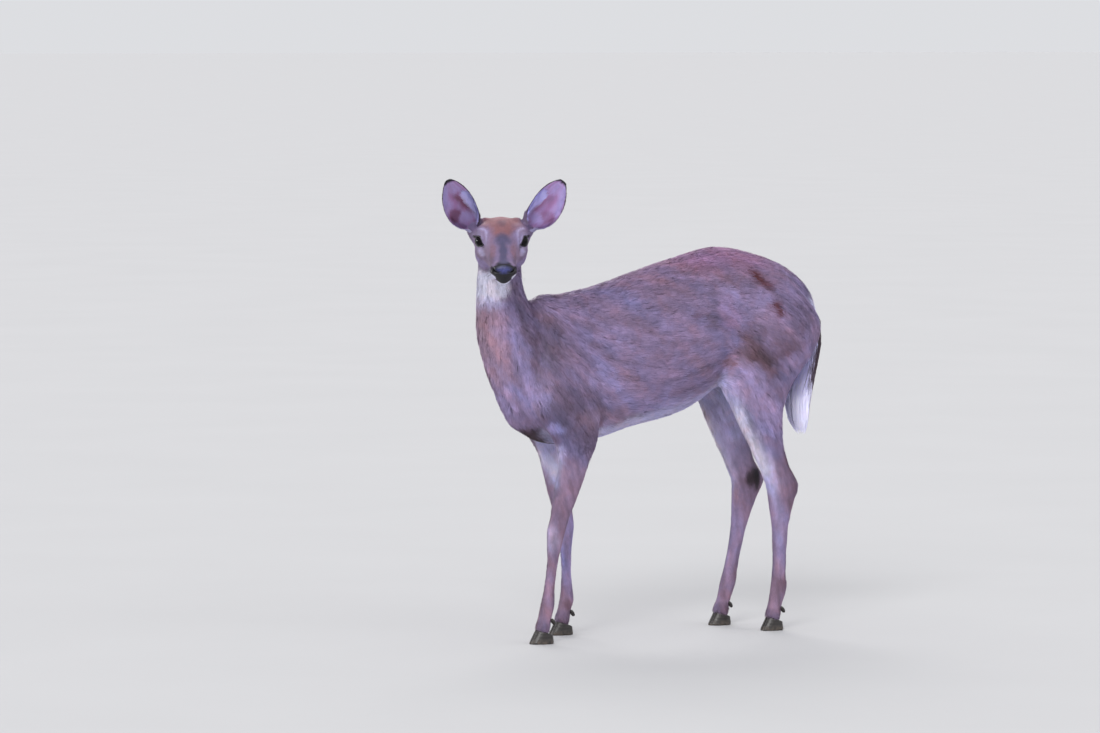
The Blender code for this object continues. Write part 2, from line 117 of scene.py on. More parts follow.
class Noise:
    """Smooth value noise in three dimensions, alike on every run."""

    CELLS = 64

    def __init__(self, seed: int) -> None:
        """Fills the lattice from a seed."""
        self.lattice = np.random.default_rng(seed).uniform(-1, 1, (self.CELLS,) * 3)

    def at(self, places: Array, size: float) -> Array:
        """Noise between -1 and 1.

        Args:
            places: where to read it, one place a row.
            size: how far apart its bumps are.

        Returns:
            One value for each place.
        """
        scaled = places / size
        cell = np.floor(scaled).astype(np.int64)
        part = scaled - cell
        part = part * part * (3 - 2 * part)
        total = np.zeros(len(places))
        for corner in range(8):
            step = np.array([corner & 1, corner >> 1 & 1, corner >> 2])
            weight = np.prod(np.where(step, part, 1 - part), axis=1)
            x, y, z = ((cell + step) % self.CELLS).T
            total += weight * self.lattice[x, y, z]
        return total

    def vectors(self, places: Array, size: float) -> Array:
        """Three unlike noises as the parts of a vector for each place."""
        return np.stack([self.at(places + shift, size) for shift in (0.0, 7.31, 19.7)], 1)


# --- the head's own frame
@dataclass(frozen=True)
class HeadFrame:
    """Places on the head as forward, left and up from the point between the eyes."""

    turn: float = math.radians(64)
    drop: float = math.radians(17)
    eye_forward: float = 0.004
    eye_up: float = 0.0055
    head_ends: float = 0.074  # distance from the skull's middle line
    neck_begins: float = 0.112

    @cached_property
    def axes(self) -> Array:
        """The forward, left and up directions, one a row."""
        ahead = np.array([-math.cos(self.turn), -math.sin(self.turn)]) * math.cos(self.drop)
        forward = np.array([*ahead, -math.sin(self.drop)])
        left = np.array([math.sin(self.turn), -math.cos(self.turn), 0])
        return np.stack([forward, left, np.cross(forward, left)])

    @cached_property
    def middle(self) -> Array:
        """The point between the eyes.

        Returns:
            The place in the room.
        """
        corners = [corner for name in ("eye_left", "eye_right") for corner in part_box(name)]
        forward, _, up = self.axes
        between = np.mean([list(corner) for corner in corners], axis=0)
        return between - forward * self.eye_forward - up * self.eye_up

    def local(self, places: Array) -> Array:
        """Places of the room as forward, left and up."""
        return (places - self.middle) @ self.axes.T

    def folded(self, places: Array) -> Array:
        """Places of the room as forward, out from the middle plane, and up."""
        return mirrored(self.local(places))

    def world(self, local: Array) -> Array:
        """Forward, left and up as places of the room."""
        return np.asarray(local) @ self.axes + self.middle

    def face_share(self, places: Array) -> Array:
        """1 on the head, falling to 0 where the neck begins."""
        skull = np.array([(0.13, 0, -0.02), (0.02, 0, -0.012), (-0.055, 0, 0.0)])
        return ease(from_line(self.local(places), skull), self.neck_begins, self.head_ends)


HEAD = HeadFrame()
SKULL_LINE = np.array([(0.13, 0, -0.02), (-0.05, 0, -0.005)])  # nose to poll, in the head's frame


def mirrored(local: Array) -> Array:
    """Head places or directions with both sides folded onto the left one."""
    return np.stack([local[:, 0], np.abs(local[:, 1]), local[:, 2]], 1)


def side_of(local: Array) -> Array:
    """1 on the left of the head and -1 on the right."""
    return np.where(local[:, 1] < 0, -1.0, 1.0)


# --- eyes and lids
@dataclass(frozen=True)
class EyeOpening:
    """The almond between the lids, in angles seen from the middle of the eyeball."""

    middle: Point = (0.004, 0.0455, 0.0055)
    radius: float = 0.0163
    outlook: Point = (0.56, 0.82, 0.06)
    corner: Point = (0.90, -0.42, -0.30)  # towards the inner corner
    half_length: float = 1.0
    upper: float = 0.80
    lower: float = 0.72
    lid: float = 0.0013
    roundness: float = 1.75  # 2 is an ellipse, and less is more pointed

    def axes(self) -> Array:
        """The eye's own directions, in the folded head frame.

        Returns:
            Outlook, inner corner and up, one a row.
        """
        look = unit(np.array(self.outlook))
        corner = np.array(self.corner)
        corner = unit(corner - look * (corner @ look))
        up = np.cross(look, corner)
        return np.stack([look, corner, up * math.copysign(1, up[2])])

    def reach(self, folded: Array) -> tuple[Array, Array, Array]:
        """How far out of the opening places are.

        Args:
            folded: places in the folded head frame.

        Returns:
            The measure that is 1 on the lid's edge and less inside, the distance from the eyeball's middle,
            and the height above the opening's long line as an angle.
        """
        look, corner, up = self.axes()
        way = folded - self.middle
        far = np.linalg.norm(way, axis=1)
        ahead = way @ look
        sideways = np.arctan2(way @ corner, ahead) / self.half_length
        height = np.arctan2(way @ up, ahead)
        tall = np.where(height > 0, self.upper, self.lower)
        power = self.roundness
        measure = (np.abs(sideways) ** power + np.abs(height / tall) ** power) ** (1 / power)
        return np.where(ahead > 0, measure, 9.0), far, height

    def bearing(self, folded: Array) -> Array:
        """Angle round the opening, from 0 at the inner corner through a quarter turn above.

        Args:
            folded: places in the folded head frame.

        Returns:
            One angle for each place.
        """
        _, corner, up = self.axes()
        way = folded - self.middle
        return np.arctan2(way @ up, way @ corner)


OPENING = EyeOpening()


# --- forms of the face
@dataclass(frozen=True)
class Crease:
    """A groove along a line of the face, or a ridge where its depth is negative."""

    line: tuple[Point, ...]
    width: float
    depth: float

    def at(self, folded: Array) -> Array:
        """How deep it is at places in the folded head frame."""
        return self.depth * np.exp(-((from_line(folded, np.array(self.line)) / self.width) ** 2))


MOUTH = Crease(
    ((0.156, 0, -0.0395), (0.147, 0.012, -0.0395), (0.136, 0.022, -0.041), (0.115, 0.0295, -0.044),
     (0.094, 0.032, -0.0475), (0.078, 0.034, -0.049)),
    0.0013, 0.0026,
)
NOSTRIL = Crease(
    ((0.154, 0.0105, -0.0225), (0.152, 0.0165, -0.0245), (0.147, 0.0225, -0.0215), (0.142, 0.0262, -0.015)),
    0.003, 0.0085,
)
CREASES = (
    MOUTH,
    NOSTRIL,
    Crease(((0.158, 0, -0.026), (0.154, 0, -0.039)), 0.0012, 0.0013),  # below the nose
    Crease(((0.15, 0, -0.003), (0.158, 0, -0.016)), 0.004, 0.0006),  # middle of the nose pad
    Crease(((0.147, 0.0195, -0.0105), (0.153, 0.012, -0.0135)), 0.004, -0.001),  # nostril's wing
    Crease(((0.0235, 0.0475, -0.004), (0.042, 0.041, -0.0135)), 0.0022, 0.0022),  # gland before the eye
    Crease(((0.06, 0.035, -0.018), (0.02, 0.05, -0.018), (-0.03, 0.06, -0.014)), 0.0065, -0.0012),
    Crease(((0.07, 0.032, -0.03), (0.02, 0.045, -0.04), (-0.02, 0.05, -0.052)), 0.008, 0.0012),
    Crease(((0.04, 0.022, 0.029), (0.09, 0.015, 0.01)), 0.006, -0.0007),  # edge of the bridge
    Crease(((0.03, 0, 0.04), (-0.03, 0, 0.05)), 0.008, 0.0008),  # middle of the forehead
)


@dataclass(frozen=True)
class Egg:
    """A soft-edged ellipsoid in which something holds."""

    middle: Point
    radii: Point
    edge: float = 0.3

    def share(self, places: Array) -> Array:
        """1 well inside, 0 well outside."""
        far = np.linalg.norm((places - self.middle) / self.radii, axis=1)
        return ease(far, 1 + self.edge, 1 - self.edge)


EYE_CORNERS = (  # inner and outer
    Egg((0.027, 0.0465, -0.0035), (0.0085, 0.006, 0.003), 0.35),
    Egg((-0.018, 0.058, 0.0085), (0.0095, 0.008, 0.003), 0.35),
)
EAR_STUMP = Egg((-0.048, 0.071, 0.03), (0.025, 0.021, 0.022), 0.35)
NOSE_SHINE = Egg((0.16, 0, -0.015), (0.016, 0.0195, 0.0105), 0.5)
NOSE_FORMS = (
    Egg((0.152, 0, -0.021), (0.023, 0.0345, 0.019), 0.06),
    Egg((0.148, 0, -0.0385), (0.026, 0.02, 0.015), 0.08),
)


@dataclass(frozen=True)
class Swell:
    """A soft push of the skin in one direction."""

    form: Egg
    push: Point

    def at(self, places: Array) -> Array:
        """How each place moves."""
        return np.outer(self.form.share(places), self.push)


FACE_SWELLS = (
    Swell(Egg((0.147, 0.029, -0.02), (0.018, 0.014, 0.014), 0.9), (0, 0.0042, 0)),  # wing of the nose
    Swell(Egg((0.134, 0.029, -0.038), (0.016, 0.011, 0.01), 0.9), (0.0015, 0.0048, 0)),  # upper lip
    Swell(Egg((0.14, 0, -0.05), (0.024, 0.024, 0.013), 0.9), (0.0015, 0, -0.004)),  # chin
    Swell(Egg((-0.048, 0.043, 0.043), (0.019, 0.014, 0.012), 0.9), (0, 0, -0.0045)),  # before the ears
    Swell(Egg((-0.047, 0.023, 0.049), (0.022, 0.013, 0.012), 0.9), (0, 0, 0.002)),
    Swell(Egg((-0.046, 0.076, 0.04), (0.026, 0.022, 0.02), 0.9), (-0.002, -0.0035, -0.0065)),  # in the ears
)
# Places are X, distance from the body's middle plane, and Z
CROUP = Swell(Egg((0.205, 0, 0.93), (0.06, 0.075, 0.06), 0.9), (0, 0, 0.0065))
WITHERS = Swell(Egg((-0.27, 0, 0.808), (0.04, 0.055, 0.04), 0.9), (0, 0, 0.0145))
BODY_SWELLS = (CROUP, WITHERS)


def nose_share(folded: Array) -> Array:
    """1 on the bare skin of nose and lips, 0 on haired skin."""
    return np.max([form.share(folded) for form in NOSE_FORMS], axis=0)


# --- colours of the coat
class Pigment(Enum):
    """Hair and skin colours, as display values from 0 to 255, with part of the blue-violet cast of the sky's
    light painted into them.
    """

    GREY_BROWN = (135, 118, 154)
    BACK = (146, 116, 144)
    ROSE = (153, 118, 156)
    SHADE = (96, 82, 108)
    DEEP = (62, 48, 57)
    TAN = (166, 137, 162)
    LILAC = (162, 151, 200)
    RUFOUS = (156, 107, 110)
    RUST = (88, 34, 36)
    BARK = (92, 67, 80)
    SLATE = (90, 86, 120)
    WHITE = (224, 223, 243)
    PALE = (195, 190, 230)
    LEG = (152, 127, 155)
    KNEE = (136, 109, 132)
    BLACK = (24, 21, 29)
    EAR_SKIN = (158, 119, 166)
    # painted shade deep in the ear's hollow
    EAR_DEPTH = (112, 65, 88)
    EAR_LOBE = (196, 193, 240)
    NOSE_SHEEN = (84, 88, 156)

    @property
    def linear(self) -> Array:
        """The colour as linear light."""
        shown = np.array(self.value) / 255
        return np.where(shown <= 0.04045, shown / 12.92, ((shown + 0.055) / 1.055) ** 2.4)


def blend(colour: Array, over: Array, share: Array) -> Array:
    """The colours with one more laid over them, each by its own share."""
    return colour + (over - colour) * share[:, None]


@dataclass(frozen=True)
class Stripe:
    """A soft-edged line along which something holds."""

    line: tuple[Point, ...]
    width: float

    def share(self, places: Array) -> Array:
        """1 on the line, falling away beside it."""
        return np.exp(-((from_line(places, np.array(self.line)) / self.width) ** 2))


@dataclass(frozen=True)
class Patch:
    """A stretch of coat of one colour."""

    pigment: Pigment
    form: Egg | Stripe
    strength: float = 1.0


def patch(pigment: Pigment, middle: tuple, radii: tuple, strength: float = 1.0, edge: float = 0.45) -> Patch:
    """A patch from its colour, place, size, strength and softness."""
    return Patch(pigment, Egg(middle, radii, edge), strength)


P = Pigment
# Places are X, distance from the body's middle plane, and Z
BODY_PATCHES = (
    patch(P.BACK, (0.05, 0, 0.93), (0.42, 0.1, 0.1), 0.8),
    patch(P.ROSE, (0.22, 0.03, 0.925), (0.17, 0.07, 0.055), 0.9),
    patch(P.SHADE, (-0.2, 0.11, 0.53), (0.085, 0.06, 0.075), 0.75),
    patch(P.SHADE, (-0.257, 0.105, 0.58), (0.035, 0.05, 0.045), 0.7),
    patch(P.SHADE, (-0.225, 0.1, 0.64), (0.09, 0.06, 0.1), 0.3),
    patch(P.SHADE, (-0.275, 0.07, 0.745), (0.045, 0.05, 0.085), 0.75),
    patch(P.SHADE, (-0.3, 0.06, 0.7), (0.022, 0.04, 0.06), 0.55),
    patch(P.GREY_BROWN, (-0.15, 0.1, 0.66), (0.06, 0.06, 0.08), 0.35),
    patch(P.LILAC, (-0.13, 0.1, 0.625), (0.055, 0.06, 0.035), 0.35),
    patch(P.LILAC, (0, 0.1, 0.565), (0.15, 0.08, 0.025), 0.35),
    patch(P.TAN, (-0.13, 0.1, 0.535), (0.08, 0.07, 0.025), 0.4),
    patch(P.ROSE, (0.205, 0.09, 0.765), (0.035, 0.05, 0.035), 0.55),
    patch(P.LILAC, (0.25, 0.09, 0.79), (0.07, 0.05, 0.04), 0.3),
    patch(P.SHADE, (0.15, 0.1, 0.765), (0.018, 0.06, 0.045), 0.3),
    patch(P.RUFOUS, (0.213, 0.075, 0.649), (0.02, 0.05, 0.016), 0.6),
    patch(P.SHADE, (0.27, 0.11, 0.715), (0.04, 0.06, 0.03), 0.4),
    patch(P.SHADE, (0.19, 0.06, 0.605), (0.016, 0.05, 0.022), 0.55),
    patch(P.LILAC, (0.25, 0.11, 0.6), (0.05, 0.06, 0.045), 0.55),
    patch(P.LILAC, (0.3, 0.11, 0.53), (0.045, 0.06, 0.05), 0.35),
    patch(P.SHADE, (0.405, 0.1, 0.755), (0.035, 0.06, 0.055), 0.55),
    patch(P.SHADE, (0.34, 0.11, 0.61), (0.03, 0.05, 0.05), 0.35),
    patch(P.BARK, (0.35, 0.1, 0.86), (0.06, 0.05, 0.018), 0.35),
    patch(P.SHADE, (0.28, 0.09, 0.825), (0.04, 0.05, 0.014), 0.35),
    # streaks of old hair on haunch and thigh
    Patch(P.BARK, Stripe(((0.262, 0.096, 0.716), (0.296, 0.108, 0.672), (0.318, 0.112, 0.636)), 0.021), 0.8),
    Patch(P.BARK, Stripe(((0.238, 0.092, 0.68), (0.3, 0.11, 0.664), (0.362, 0.112, 0.684)), 0.016), 0.72),
    Patch(P.BARK, Stripe(((0.33, 0.108, 0.704), (0.392, 0.104, 0.69)), 0.013), 0.6),
    Patch(P.DEEP, Stripe(((0.282, 0.104, 0.682), (0.308, 0.112, 0.654)), 0.012), 0.65),
    Patch(P.SHADE, Stripe(((0.172, 0.074, 0.822), (0.166, 0.086, 0.78), (0.16, 0.094, 0.733)), 0.014), 0.5),
    Patch(P.RUST, Stripe(((0.294, 0.055, 0.861), (0.311, 0.063, 0.847), (0.326, 0.071, 0.832)), 0.0135), 1),
    Patch(P.RUST, Stripe(((0.338, 0.09, 0.787), (0.346, 0.093, 0.773)), 0.013), 0.95),
    Patch(P.BARK, Stripe(((0.184, 0.052, 0.852), (0.218, 0.056, 0.85)), 0.0075), 0.6),
    patch(P.RUST, (0.118, 0.095, 0.764), (0.012, 0.02, 0.006), 0.4, 0.35),
    patch(P.RUST, (-0.03, 0.08, 0.83), (0.016, 0.02, 0.005), 0.3, 0.35),
    # rear edge, groin and belly
    patch(P.WHITE, (0.478, 0, 0.735), (0.03, 0.06, 0.075), 0.95, 0.3),
    patch(P.WHITE, (0.42, 0, 0.64), (0.075, 0.045, 0.075), 0.95, 0.3),
    patch(P.WHITE, (0.265, 0, 0.6), (0.14, 0.052, 0.09), 0.65, 0.35),
    patch(P.WHITE, (0.05, 0, 0.515), (0.2, 0.06, 0.038), 0.72, 0.4),
    patch(P.PALE, (-0.115, 0, 0.482), (0.08, 0.05, 0.022), 0.7),
    # chest and neck
    patch(P.TAN, (-0.42, 0, 0.76), (0.065, 0.06, 0.11), 0.95),
    patch(P.TAN, (-0.405, 0, 0.65), (0.06, 0.06, 0.1), 0.75),
    patch(P.LILAC, (-0.375, 0.02, 0.57), (0.045, 0.05, 0.05), 0.7),
    patch(P.LILAC, (-0.31, 0.075, 0.58), (0.03, 0.04, 0.06), 0.55),
    patch(P.LILAC, (-0.335, 0.06, 0.66), (0.022, 0.04, 0.07), 0.55),
    patch(P.LILAC, (-0.345, 0.055, 0.735), (0.016, 0.04, 0.06), 0.45),
    patch(P.SHADE, (-0.322, 0.055, 0.765), (0.014, 0.04, 0.05), 0.45),
    # painted shade under the brisket, between the forelegs
    patch(P.DEEP, (-0.262, 0, 0.492), (0.06, 0.066, 0.038), 0.95, 0.4),
    patch(P.DEEP, (-0.225, 0, 0.465), (0.05, 0.04, 0.03), 0.85, 0.35),
    patch(P.LILAC, (-0.268, 0.105, 0.516), (0.026, 0.03, 0.012), 0.65, 0.45),
)
# Below the trunk each leg has its own marks, by height
LEG_PATCHES = (
    patch(P.LEG, (0, 0.075, 0.2), (0.9, 0.12, 0.245), 1, 0.12),
    patch(P.KNEE, (-0.27, 0.1, 0.285), (0.07, 0.1, 0.05), 0.55),
    patch(P.KNEE, (0.375, 0.1, 0.365), (0.035, 0.1, 0.06), 0.75),
    # pale inner thighs, laid weakly as painted shade over them
    patch(P.PALE, (0.3, 0.03, 0.47), (0.12, 0.026, 0.11), 0.55, 0.3),
    patch(P.PALE, (-0.19, 0.045, 0.43), (0.12, 0.034, 0.09), 1, 0.3),
    patch(P.WHITE, (-0.19, 0.05, 0.445), (0.09, 0.024, 0.065), 0.95, 0.35),
    # pale inner hair along the hind legs' front edge, laid brighter as a painted rim highlight
    Patch(P.PALE, Stripe(((0.206, 0.066, 0.594), (0.219, 0.079, 0.562), (0.256, 0.092, 0.489),
                          (0.284, 0.097, 0.44), (0.308, 0.098, 0.391), (0.322, 0.098, 0.355)), 0.025), 1),
    Patch(P.WHITE, Stripe(((0.232, 0.084, 0.535), (0.254, 0.09, 0.489), (0.282, 0.096, 0.44),
                           (0.306, 0.098, 0.391)), 0.018), 0.95),
    Patch(P.PALE, Stripe(((0.332, 0.098, 0.341), (0.35, 0.096, 0.29), (0.358, 0.092, 0.219)), 0.012), 0.3),
    Patch(P.PALE, Stripe(((-0.242, 0.083, 0.466), (-0.24, 0.077, 0.423), (-0.25, 0.08, 0.374)), 0.009), 0.85),
    patch(P.PALE, (-0.272, 0.08, 0.248), (0.024, 0.03, 0.034), 0.5),
    patch(P.LILAC, (-0.145, 0.06, 0.19), (0.04, 0.04, 0.09), 0.7),
    patch(P.BARK, (-0.142, 0.06, 0.072), (0.014, 0.03, 0.014), 0.65),
    patch(P.BARK, (0.362, 0.092, 0.11), (0.016, 0.03, 0.016), 0.65),
    Patch(P.BARK, Stripe(((0.372, 0.092, 0.44), (0.398, 0.092, 0.37), (0.392, 0.092, 0.3)), 0.013), 0.45),
    patch(P.DEEP, (0.38, 0.056, 0.366), (0.027, 0.026, 0.036), 1, 0.22),
    patch(P.BLACK, (0.388, 0.056, 0.36), (0.018, 0.024, 0.028), 0.75, 0.4),
    patch(P.LILAC, (0.34, 0.1, 0.22), (0.05, 0.1, 0.08), 0.35),
    patch(P.KNEE, (0.33, 0.1, 0.1), (0.07, 0.1, 0.04), 0.4),
    patch(P.KNEE, (-0.22, 0.1, 0.1), (0.14, 0.1, 0.04), 0.4),
    patch(P.SHADE, (0, 0.08, 0.035), (0.9, 0.12, 0.022), 0.55),
)
# Places are forward, out from the middle plane, and up, in the head's frame
FACE_PATCHES = (
    patch(P.TAN, (0.03, 0.035, -0.02), (0.06, 0.04, 0.05), 0.4),
    patch(P.RUFOUS, (-0.035, 0, 0.048), (0.054, 0.052, 0.026), 0.85),
    patch(P.RUFOUS, (0.022, 0, 0.04), (0.032, 0.026, 0.02), 0.85),
    patch(P.SHADE, (-0.003, 0, 0.048), (0.022, 0.015, 0.013), 0.45),
    patch(P.SLATE, (0.06, 0, 0.026), (0.029, 0.018, 0.014), 0.9, 0.45),
    patch(P.SLATE, (0.1, 0, 0.01), (0.04, 0.0095, 0.014), 0.95, 0.4),
    patch(P.RUFOUS, (0.08, 0.024, 0.006), (0.026, 0.008, 0.016), 0.4),
    patch(P.BARK, (0.105, 0.03, -0.01), (0.03, 0.012, 0.012), 0.45),
    patch(P.LILAC, (0.02, 0.036, 0.016), (0.026, 0.011, 0.018), 0.4),
    patch(P.LILAC, (-0.047, 0.069, 0.028), (0.018, 0.015, 0.014), 0.7),
    patch(P.PALE, (0.03, 0.049, -0.016), (0.018, 0.012, 0.006), 0.55, 0.4),
    patch(P.SHADE, (0.018, 0.054, -0.026), (0.022, 0.012, 0.008), 0.35),
    patch(P.SHADE, (-0.05, 0.058, 0.01), (0.026, 0.022, 0.03), 0.45),
    patch(P.LILAC, (0, 0.052, -0.05), (0.06, 0.024, 0.02), 0.45),
    patch(P.WHITE, (0.08, 0, -0.062), (0.086, 0.04, 0.0165), 0.95, 0.25),
    patch(P.BARK, (0.118, 0.03, -0.03), (0.018, 0.012, 0.012), 0.55),
    patch(P.WHITE, (0.133, 0.031, -0.0385), (0.02, 0.014, 0.0085), 1, 0.18),
    patch(P.WHITE, (0.13, 0, -0.059), (0.032, 0.03, 0.013), 1, 0.2),
    patch(P.BLACK, (0.143, 0, -0.004), (0.012, 0.018, 0.0085), 0.9, 0.4),
    patch(P.SLATE, (0.128, 0, 0.001), (0.018, 0.011, 0.01), 0.9, 0.5),
    patch(P.BLACK, (0.142, 0.032, -0.02), (0.012, 0.01, 0.014), 0.9, 0.25),
    patch(P.WHITE, (0.02, 0, -0.078), (0.07, 0.034, 0.024), 0.9, 0.3),
    patch(P.BARK, (0.107, 0.031, -0.052), (0.01, 0.008, 0.006), 0.6, 0.35),
)
THROAT_PATCHES = (
    patch(P.WHITE, (-0.4, 0, 0.85), (0.05, 0.075, 0.038), 0.95, 0.22),
    patch(P.PALE, (-0.395, 0, 0.812), (0.04, 0.06, 0.016), 0.5, 0.35),
)


# --- the coat at any place
@dataclass(frozen=True)
class Measure:
    """A measure that changes smoothly from one part of the doe to the next."""

    trunk: float  # and the neck
    face: float  # at the back of the head
    muzzle: float  # towards the nose
    leg: float  # at elbow and gaskin
    shank: float  # on the lower leg


DEPTH = Measure(0.0085, 0.0022, 0.0009, 0.0028, 0.0018)  # of the skin under the tips of the coat
SOFTNESS = Measure(0.42, 0.11, 0.05, 0.06, 0.03)  # of the flesh where its facets melt
LENGTH = Measure(0.031, 0.0105, 0.0042, 0.0150, 0.0100)  # of a hair
WIDTH = Measure(0.00133, 0.00080, 0.00050, 0.00097, 0.00083)  # of a hair
LOCK = Measure(0.0065, 0.0032, 0.0017, 0.0042, 0.0030)  # radius of a lock
DENSITY = Measure(303e3, 1.55e6, 3.9e6, 590e3, 850e3)  # hairs to a square metre
NEARNESS = Measure(0.40, 0.50, 0.75, 0.5, 0.6)  # share of the way from root to tip whose shade the skin has


class Coat:
    """The doe's markings, the lie of her hair, and how it grows, at any place on her skin."""

    FEATHER = 0.35  # how far a thin stripe's edge is stirred, beside a patch's
    # place (X, out, Z) and the way the hair lies there
    BODY_STROKES = (
        ((-0.23, 0, 0.85), (1, 0, -0.2)), ((-0.22, 0.1, 0.7), (0.8, 0, -0.6)),
        ((-0.22, 0.1, 0.58), (0.45, 0, -0.9)), ((-0.36, 0, 0.6), (0.15, 0, -1)),
        ((-0.34, 0, 0.51), (0.6, 0, -0.8)), ((-0.27, 0, 0.47), (1, 0, -0.2)),
        ((-0.05, 0.1, 0.7), (1, 0, -0.16)), ((-0.05, 0.08, 0.84), (1, 0, -0.1)),
        ((-0.05, 0.1, 0.58), (1, 0, 0.04)), ((0.05, 0, 0.53), (1, 0, 0.05)),
        ((0.12, 0.1, 0.64), (1, 0, 0.26)), ((0.18, 0.08, 0.63), (0.85, 0, 0.5)),
        ((0.12, 0.1, 0.76), (1, 0, 0.02)), ((0.18, 0.05, 0.91), (1, 0, -0.05)),
        ((0.32, 0.05, 0.9), (1, 0, -0.35)), ((0.28, 0.09, 0.8), (0.92, 0, -0.35)),
        ((0.4, 0.08, 0.8), (0.7, 0, -0.7)), ((0.45, 0.05, 0.74), (0.25, -0.1, -1)),
        ((0.34, 0.11, 0.68), (0.7, 0, -0.7)), ((0.25, 0.11, 0.66), (0.55, 0, -0.8)),
        ((0.24, 0.11, 0.58), (0.25, 0, -1)), ((0.32, 0.11, 0.54), (0.45, 0, -0.9)),
        ((0.33, 0.09, 0.42), (0.25, 0, -1)), ((0.35, 0.09, 0.2), (0.06, 0, -1)),
        ((-0.22, 0.09, 0.45), (0.25, 0, -1)), ((-0.24, 0.09, 0.2), (0.08, 0, -1)),
        ((-0.31, 0.05, 0.82), (0.1, 0, -1)), ((-0.29, 0, 0.82), (0.35, 0, -0.95)),
        ((-0.42, 0, 0.8), (0.05, 0, -1)), ((-0.29, 0.07, 0.72), (0.4, 0, -0.9)),
        ((-0.37, 0.05, 0.7), (0.15, 0, -1)),
    )
    HEAD_STROKES = (
        ((0.11, 0, 0.01), (-1, 0, 0.15)), ((0.02, 0, 0.04), (-1, 0.15, 0.3)),
        ((-0.04, 0, 0.045), (-1, 0, 0)), ((0, 0.04, 0.03), (-0.8, 0.35, 0.35)),
        ((0.04, 0.035, 0.005), (-0.9, 0.35, 0.1)), ((0, 0.055, -0.02), (-0.85, 0.15, -0.45)),
        ((-0.03, 0.05, -0.045), (-0.55, 0, -0.85)), ((0.11, 0.03, -0.02), (-1, 0.2, -0.1)),
        ((0.12, 0, -0.058), (-1, 0, -0.25)), ((0.06, 0, -0.062), (-1, 0, -0.35)),
        ((0, 0, -0.075), (-0.4, 0, -1)), ((-0.035, 0.055, 0), (-0.9, 0.1, -0.3)),
        ((-0.05, 0.05, 0.035), (-0.6, 0.5, 0.45)), ((-0.085, 0, 0.02), (-0.5, 0, -0.9)),
        ((0.15, 0.02, -0.03), (-0.7, 0.7, -0.3)),
    )

    def __init__(self) -> None:
        """Makes the noises that break up every edge and every stroke."""
        self.ragged = Noise(11)
        self.mottle = Noise(12)

    def folded(self, places: Array) -> Array:
        """Places with both sides of the body folded together about its middle plane."""
        return np.stack([places[:, 0], np.abs(places[:, 1] - MIDDLE_Y), places[:, 2]], 1)

    def shares(self, places: Array) -> dict[str, Array]:
        """How far each place belongs to the face, the muzzle, the legs and the lower legs.

        Args:
            places: where to read them.

        Returns:
            The shares by the part's name.
        """
        face = HEAD.face_share(places)
        local = HEAD.local(places)
        return {
            "face": face,
            "muzzle": face * ease(local[:, 0], 0.05, 0.12),
            "leg": ease(places[:, 2], 0.56, 0.42) * (1 - face),
            "shank": ease(places[:, 2], 0.36, 0.26) * (1 - face),
            "foot": ease(places[:, 2], 0.092, 0.055) * (1 - face),
        }

    def by_part(self, places: Array, measure: Measure) -> Array:
        """One of the coat's measures at each place.

        Args:
            places: where to read it.
            measure: its values on the parts of the doe.

        Returns:
            One value for each place.
        """
        share = self.shares(places)
        value = np.full(len(places), measure.trunk)
        for part in ("leg", "shank", "face", "muzzle"):
            value += (getattr(measure, part) - value) * share[part]
        return value

    def depth(self, places: Array) -> Array:
        """How far the skin lies under the tips of the coat."""
        return self.by_part(places, DEPTH) * (1 - 0.7 * self.shares(places)["foot"])

    def lie(self, places: Array, normals: Array) -> Array:
        """The way the hair lies, along the skin.

        Args:
            places: where the hair is rooted.
            normals: the skin's normals there.

        Returns:
            One direction for each root.
        """
        body = self.combed(self.folded(places), self.BODY_STROKES, 0.05)
        body[:, 1] *= np.sign(places[:, 1] - MIDDLE_Y)
        local = HEAD.local(places)
        head = self.combed(mirrored(local), self.HEAD_STROKES, 0.015)
        head[:, 1] *= np.sign(local[:, 1])
        share = HEAD.face_share(places)[:, None]
        return along_surface(body * (1 - share) + head @ HEAD.axes * share, normals)

    def combed(self, places: Array, strokes: tuple, reach: float) -> Array:
        """Directions between the strokes', each counting most near its own place.

        Args:
            places: where to read it.
            strokes: places and the way the hair lies there.
            reach: how soft the change between them is.

        Returns:
            One direction for each place.
        """
        total = np.zeros((len(places), 3))
        for place, way in strokes:
            near = ((places - place) ** 2).sum(1) + reach**2
            total += unit(np.array(way)) / near[:, None] ** 2
        return unit(total)

    def tint(self, places: Array, normals: Array) -> Array:
        """The colour of coat and skin.

        Args:
            places: where to read it.
            normals: the skin's normals there.

        Returns:
            Linear colours, one a row.
        """
        face = HEAD.face_share(places)
        colour = self.body_tint(places, normals, 1 - face)
        folded = HEAD.folded(places + 0.0030 * self.ragged.vectors(places, 0.014))
        for mark in FACE_PATCHES:
            colour = self.laid(colour, mark, folded, face)
        return self.eye_tint(colour, HEAD.folded(places), face)

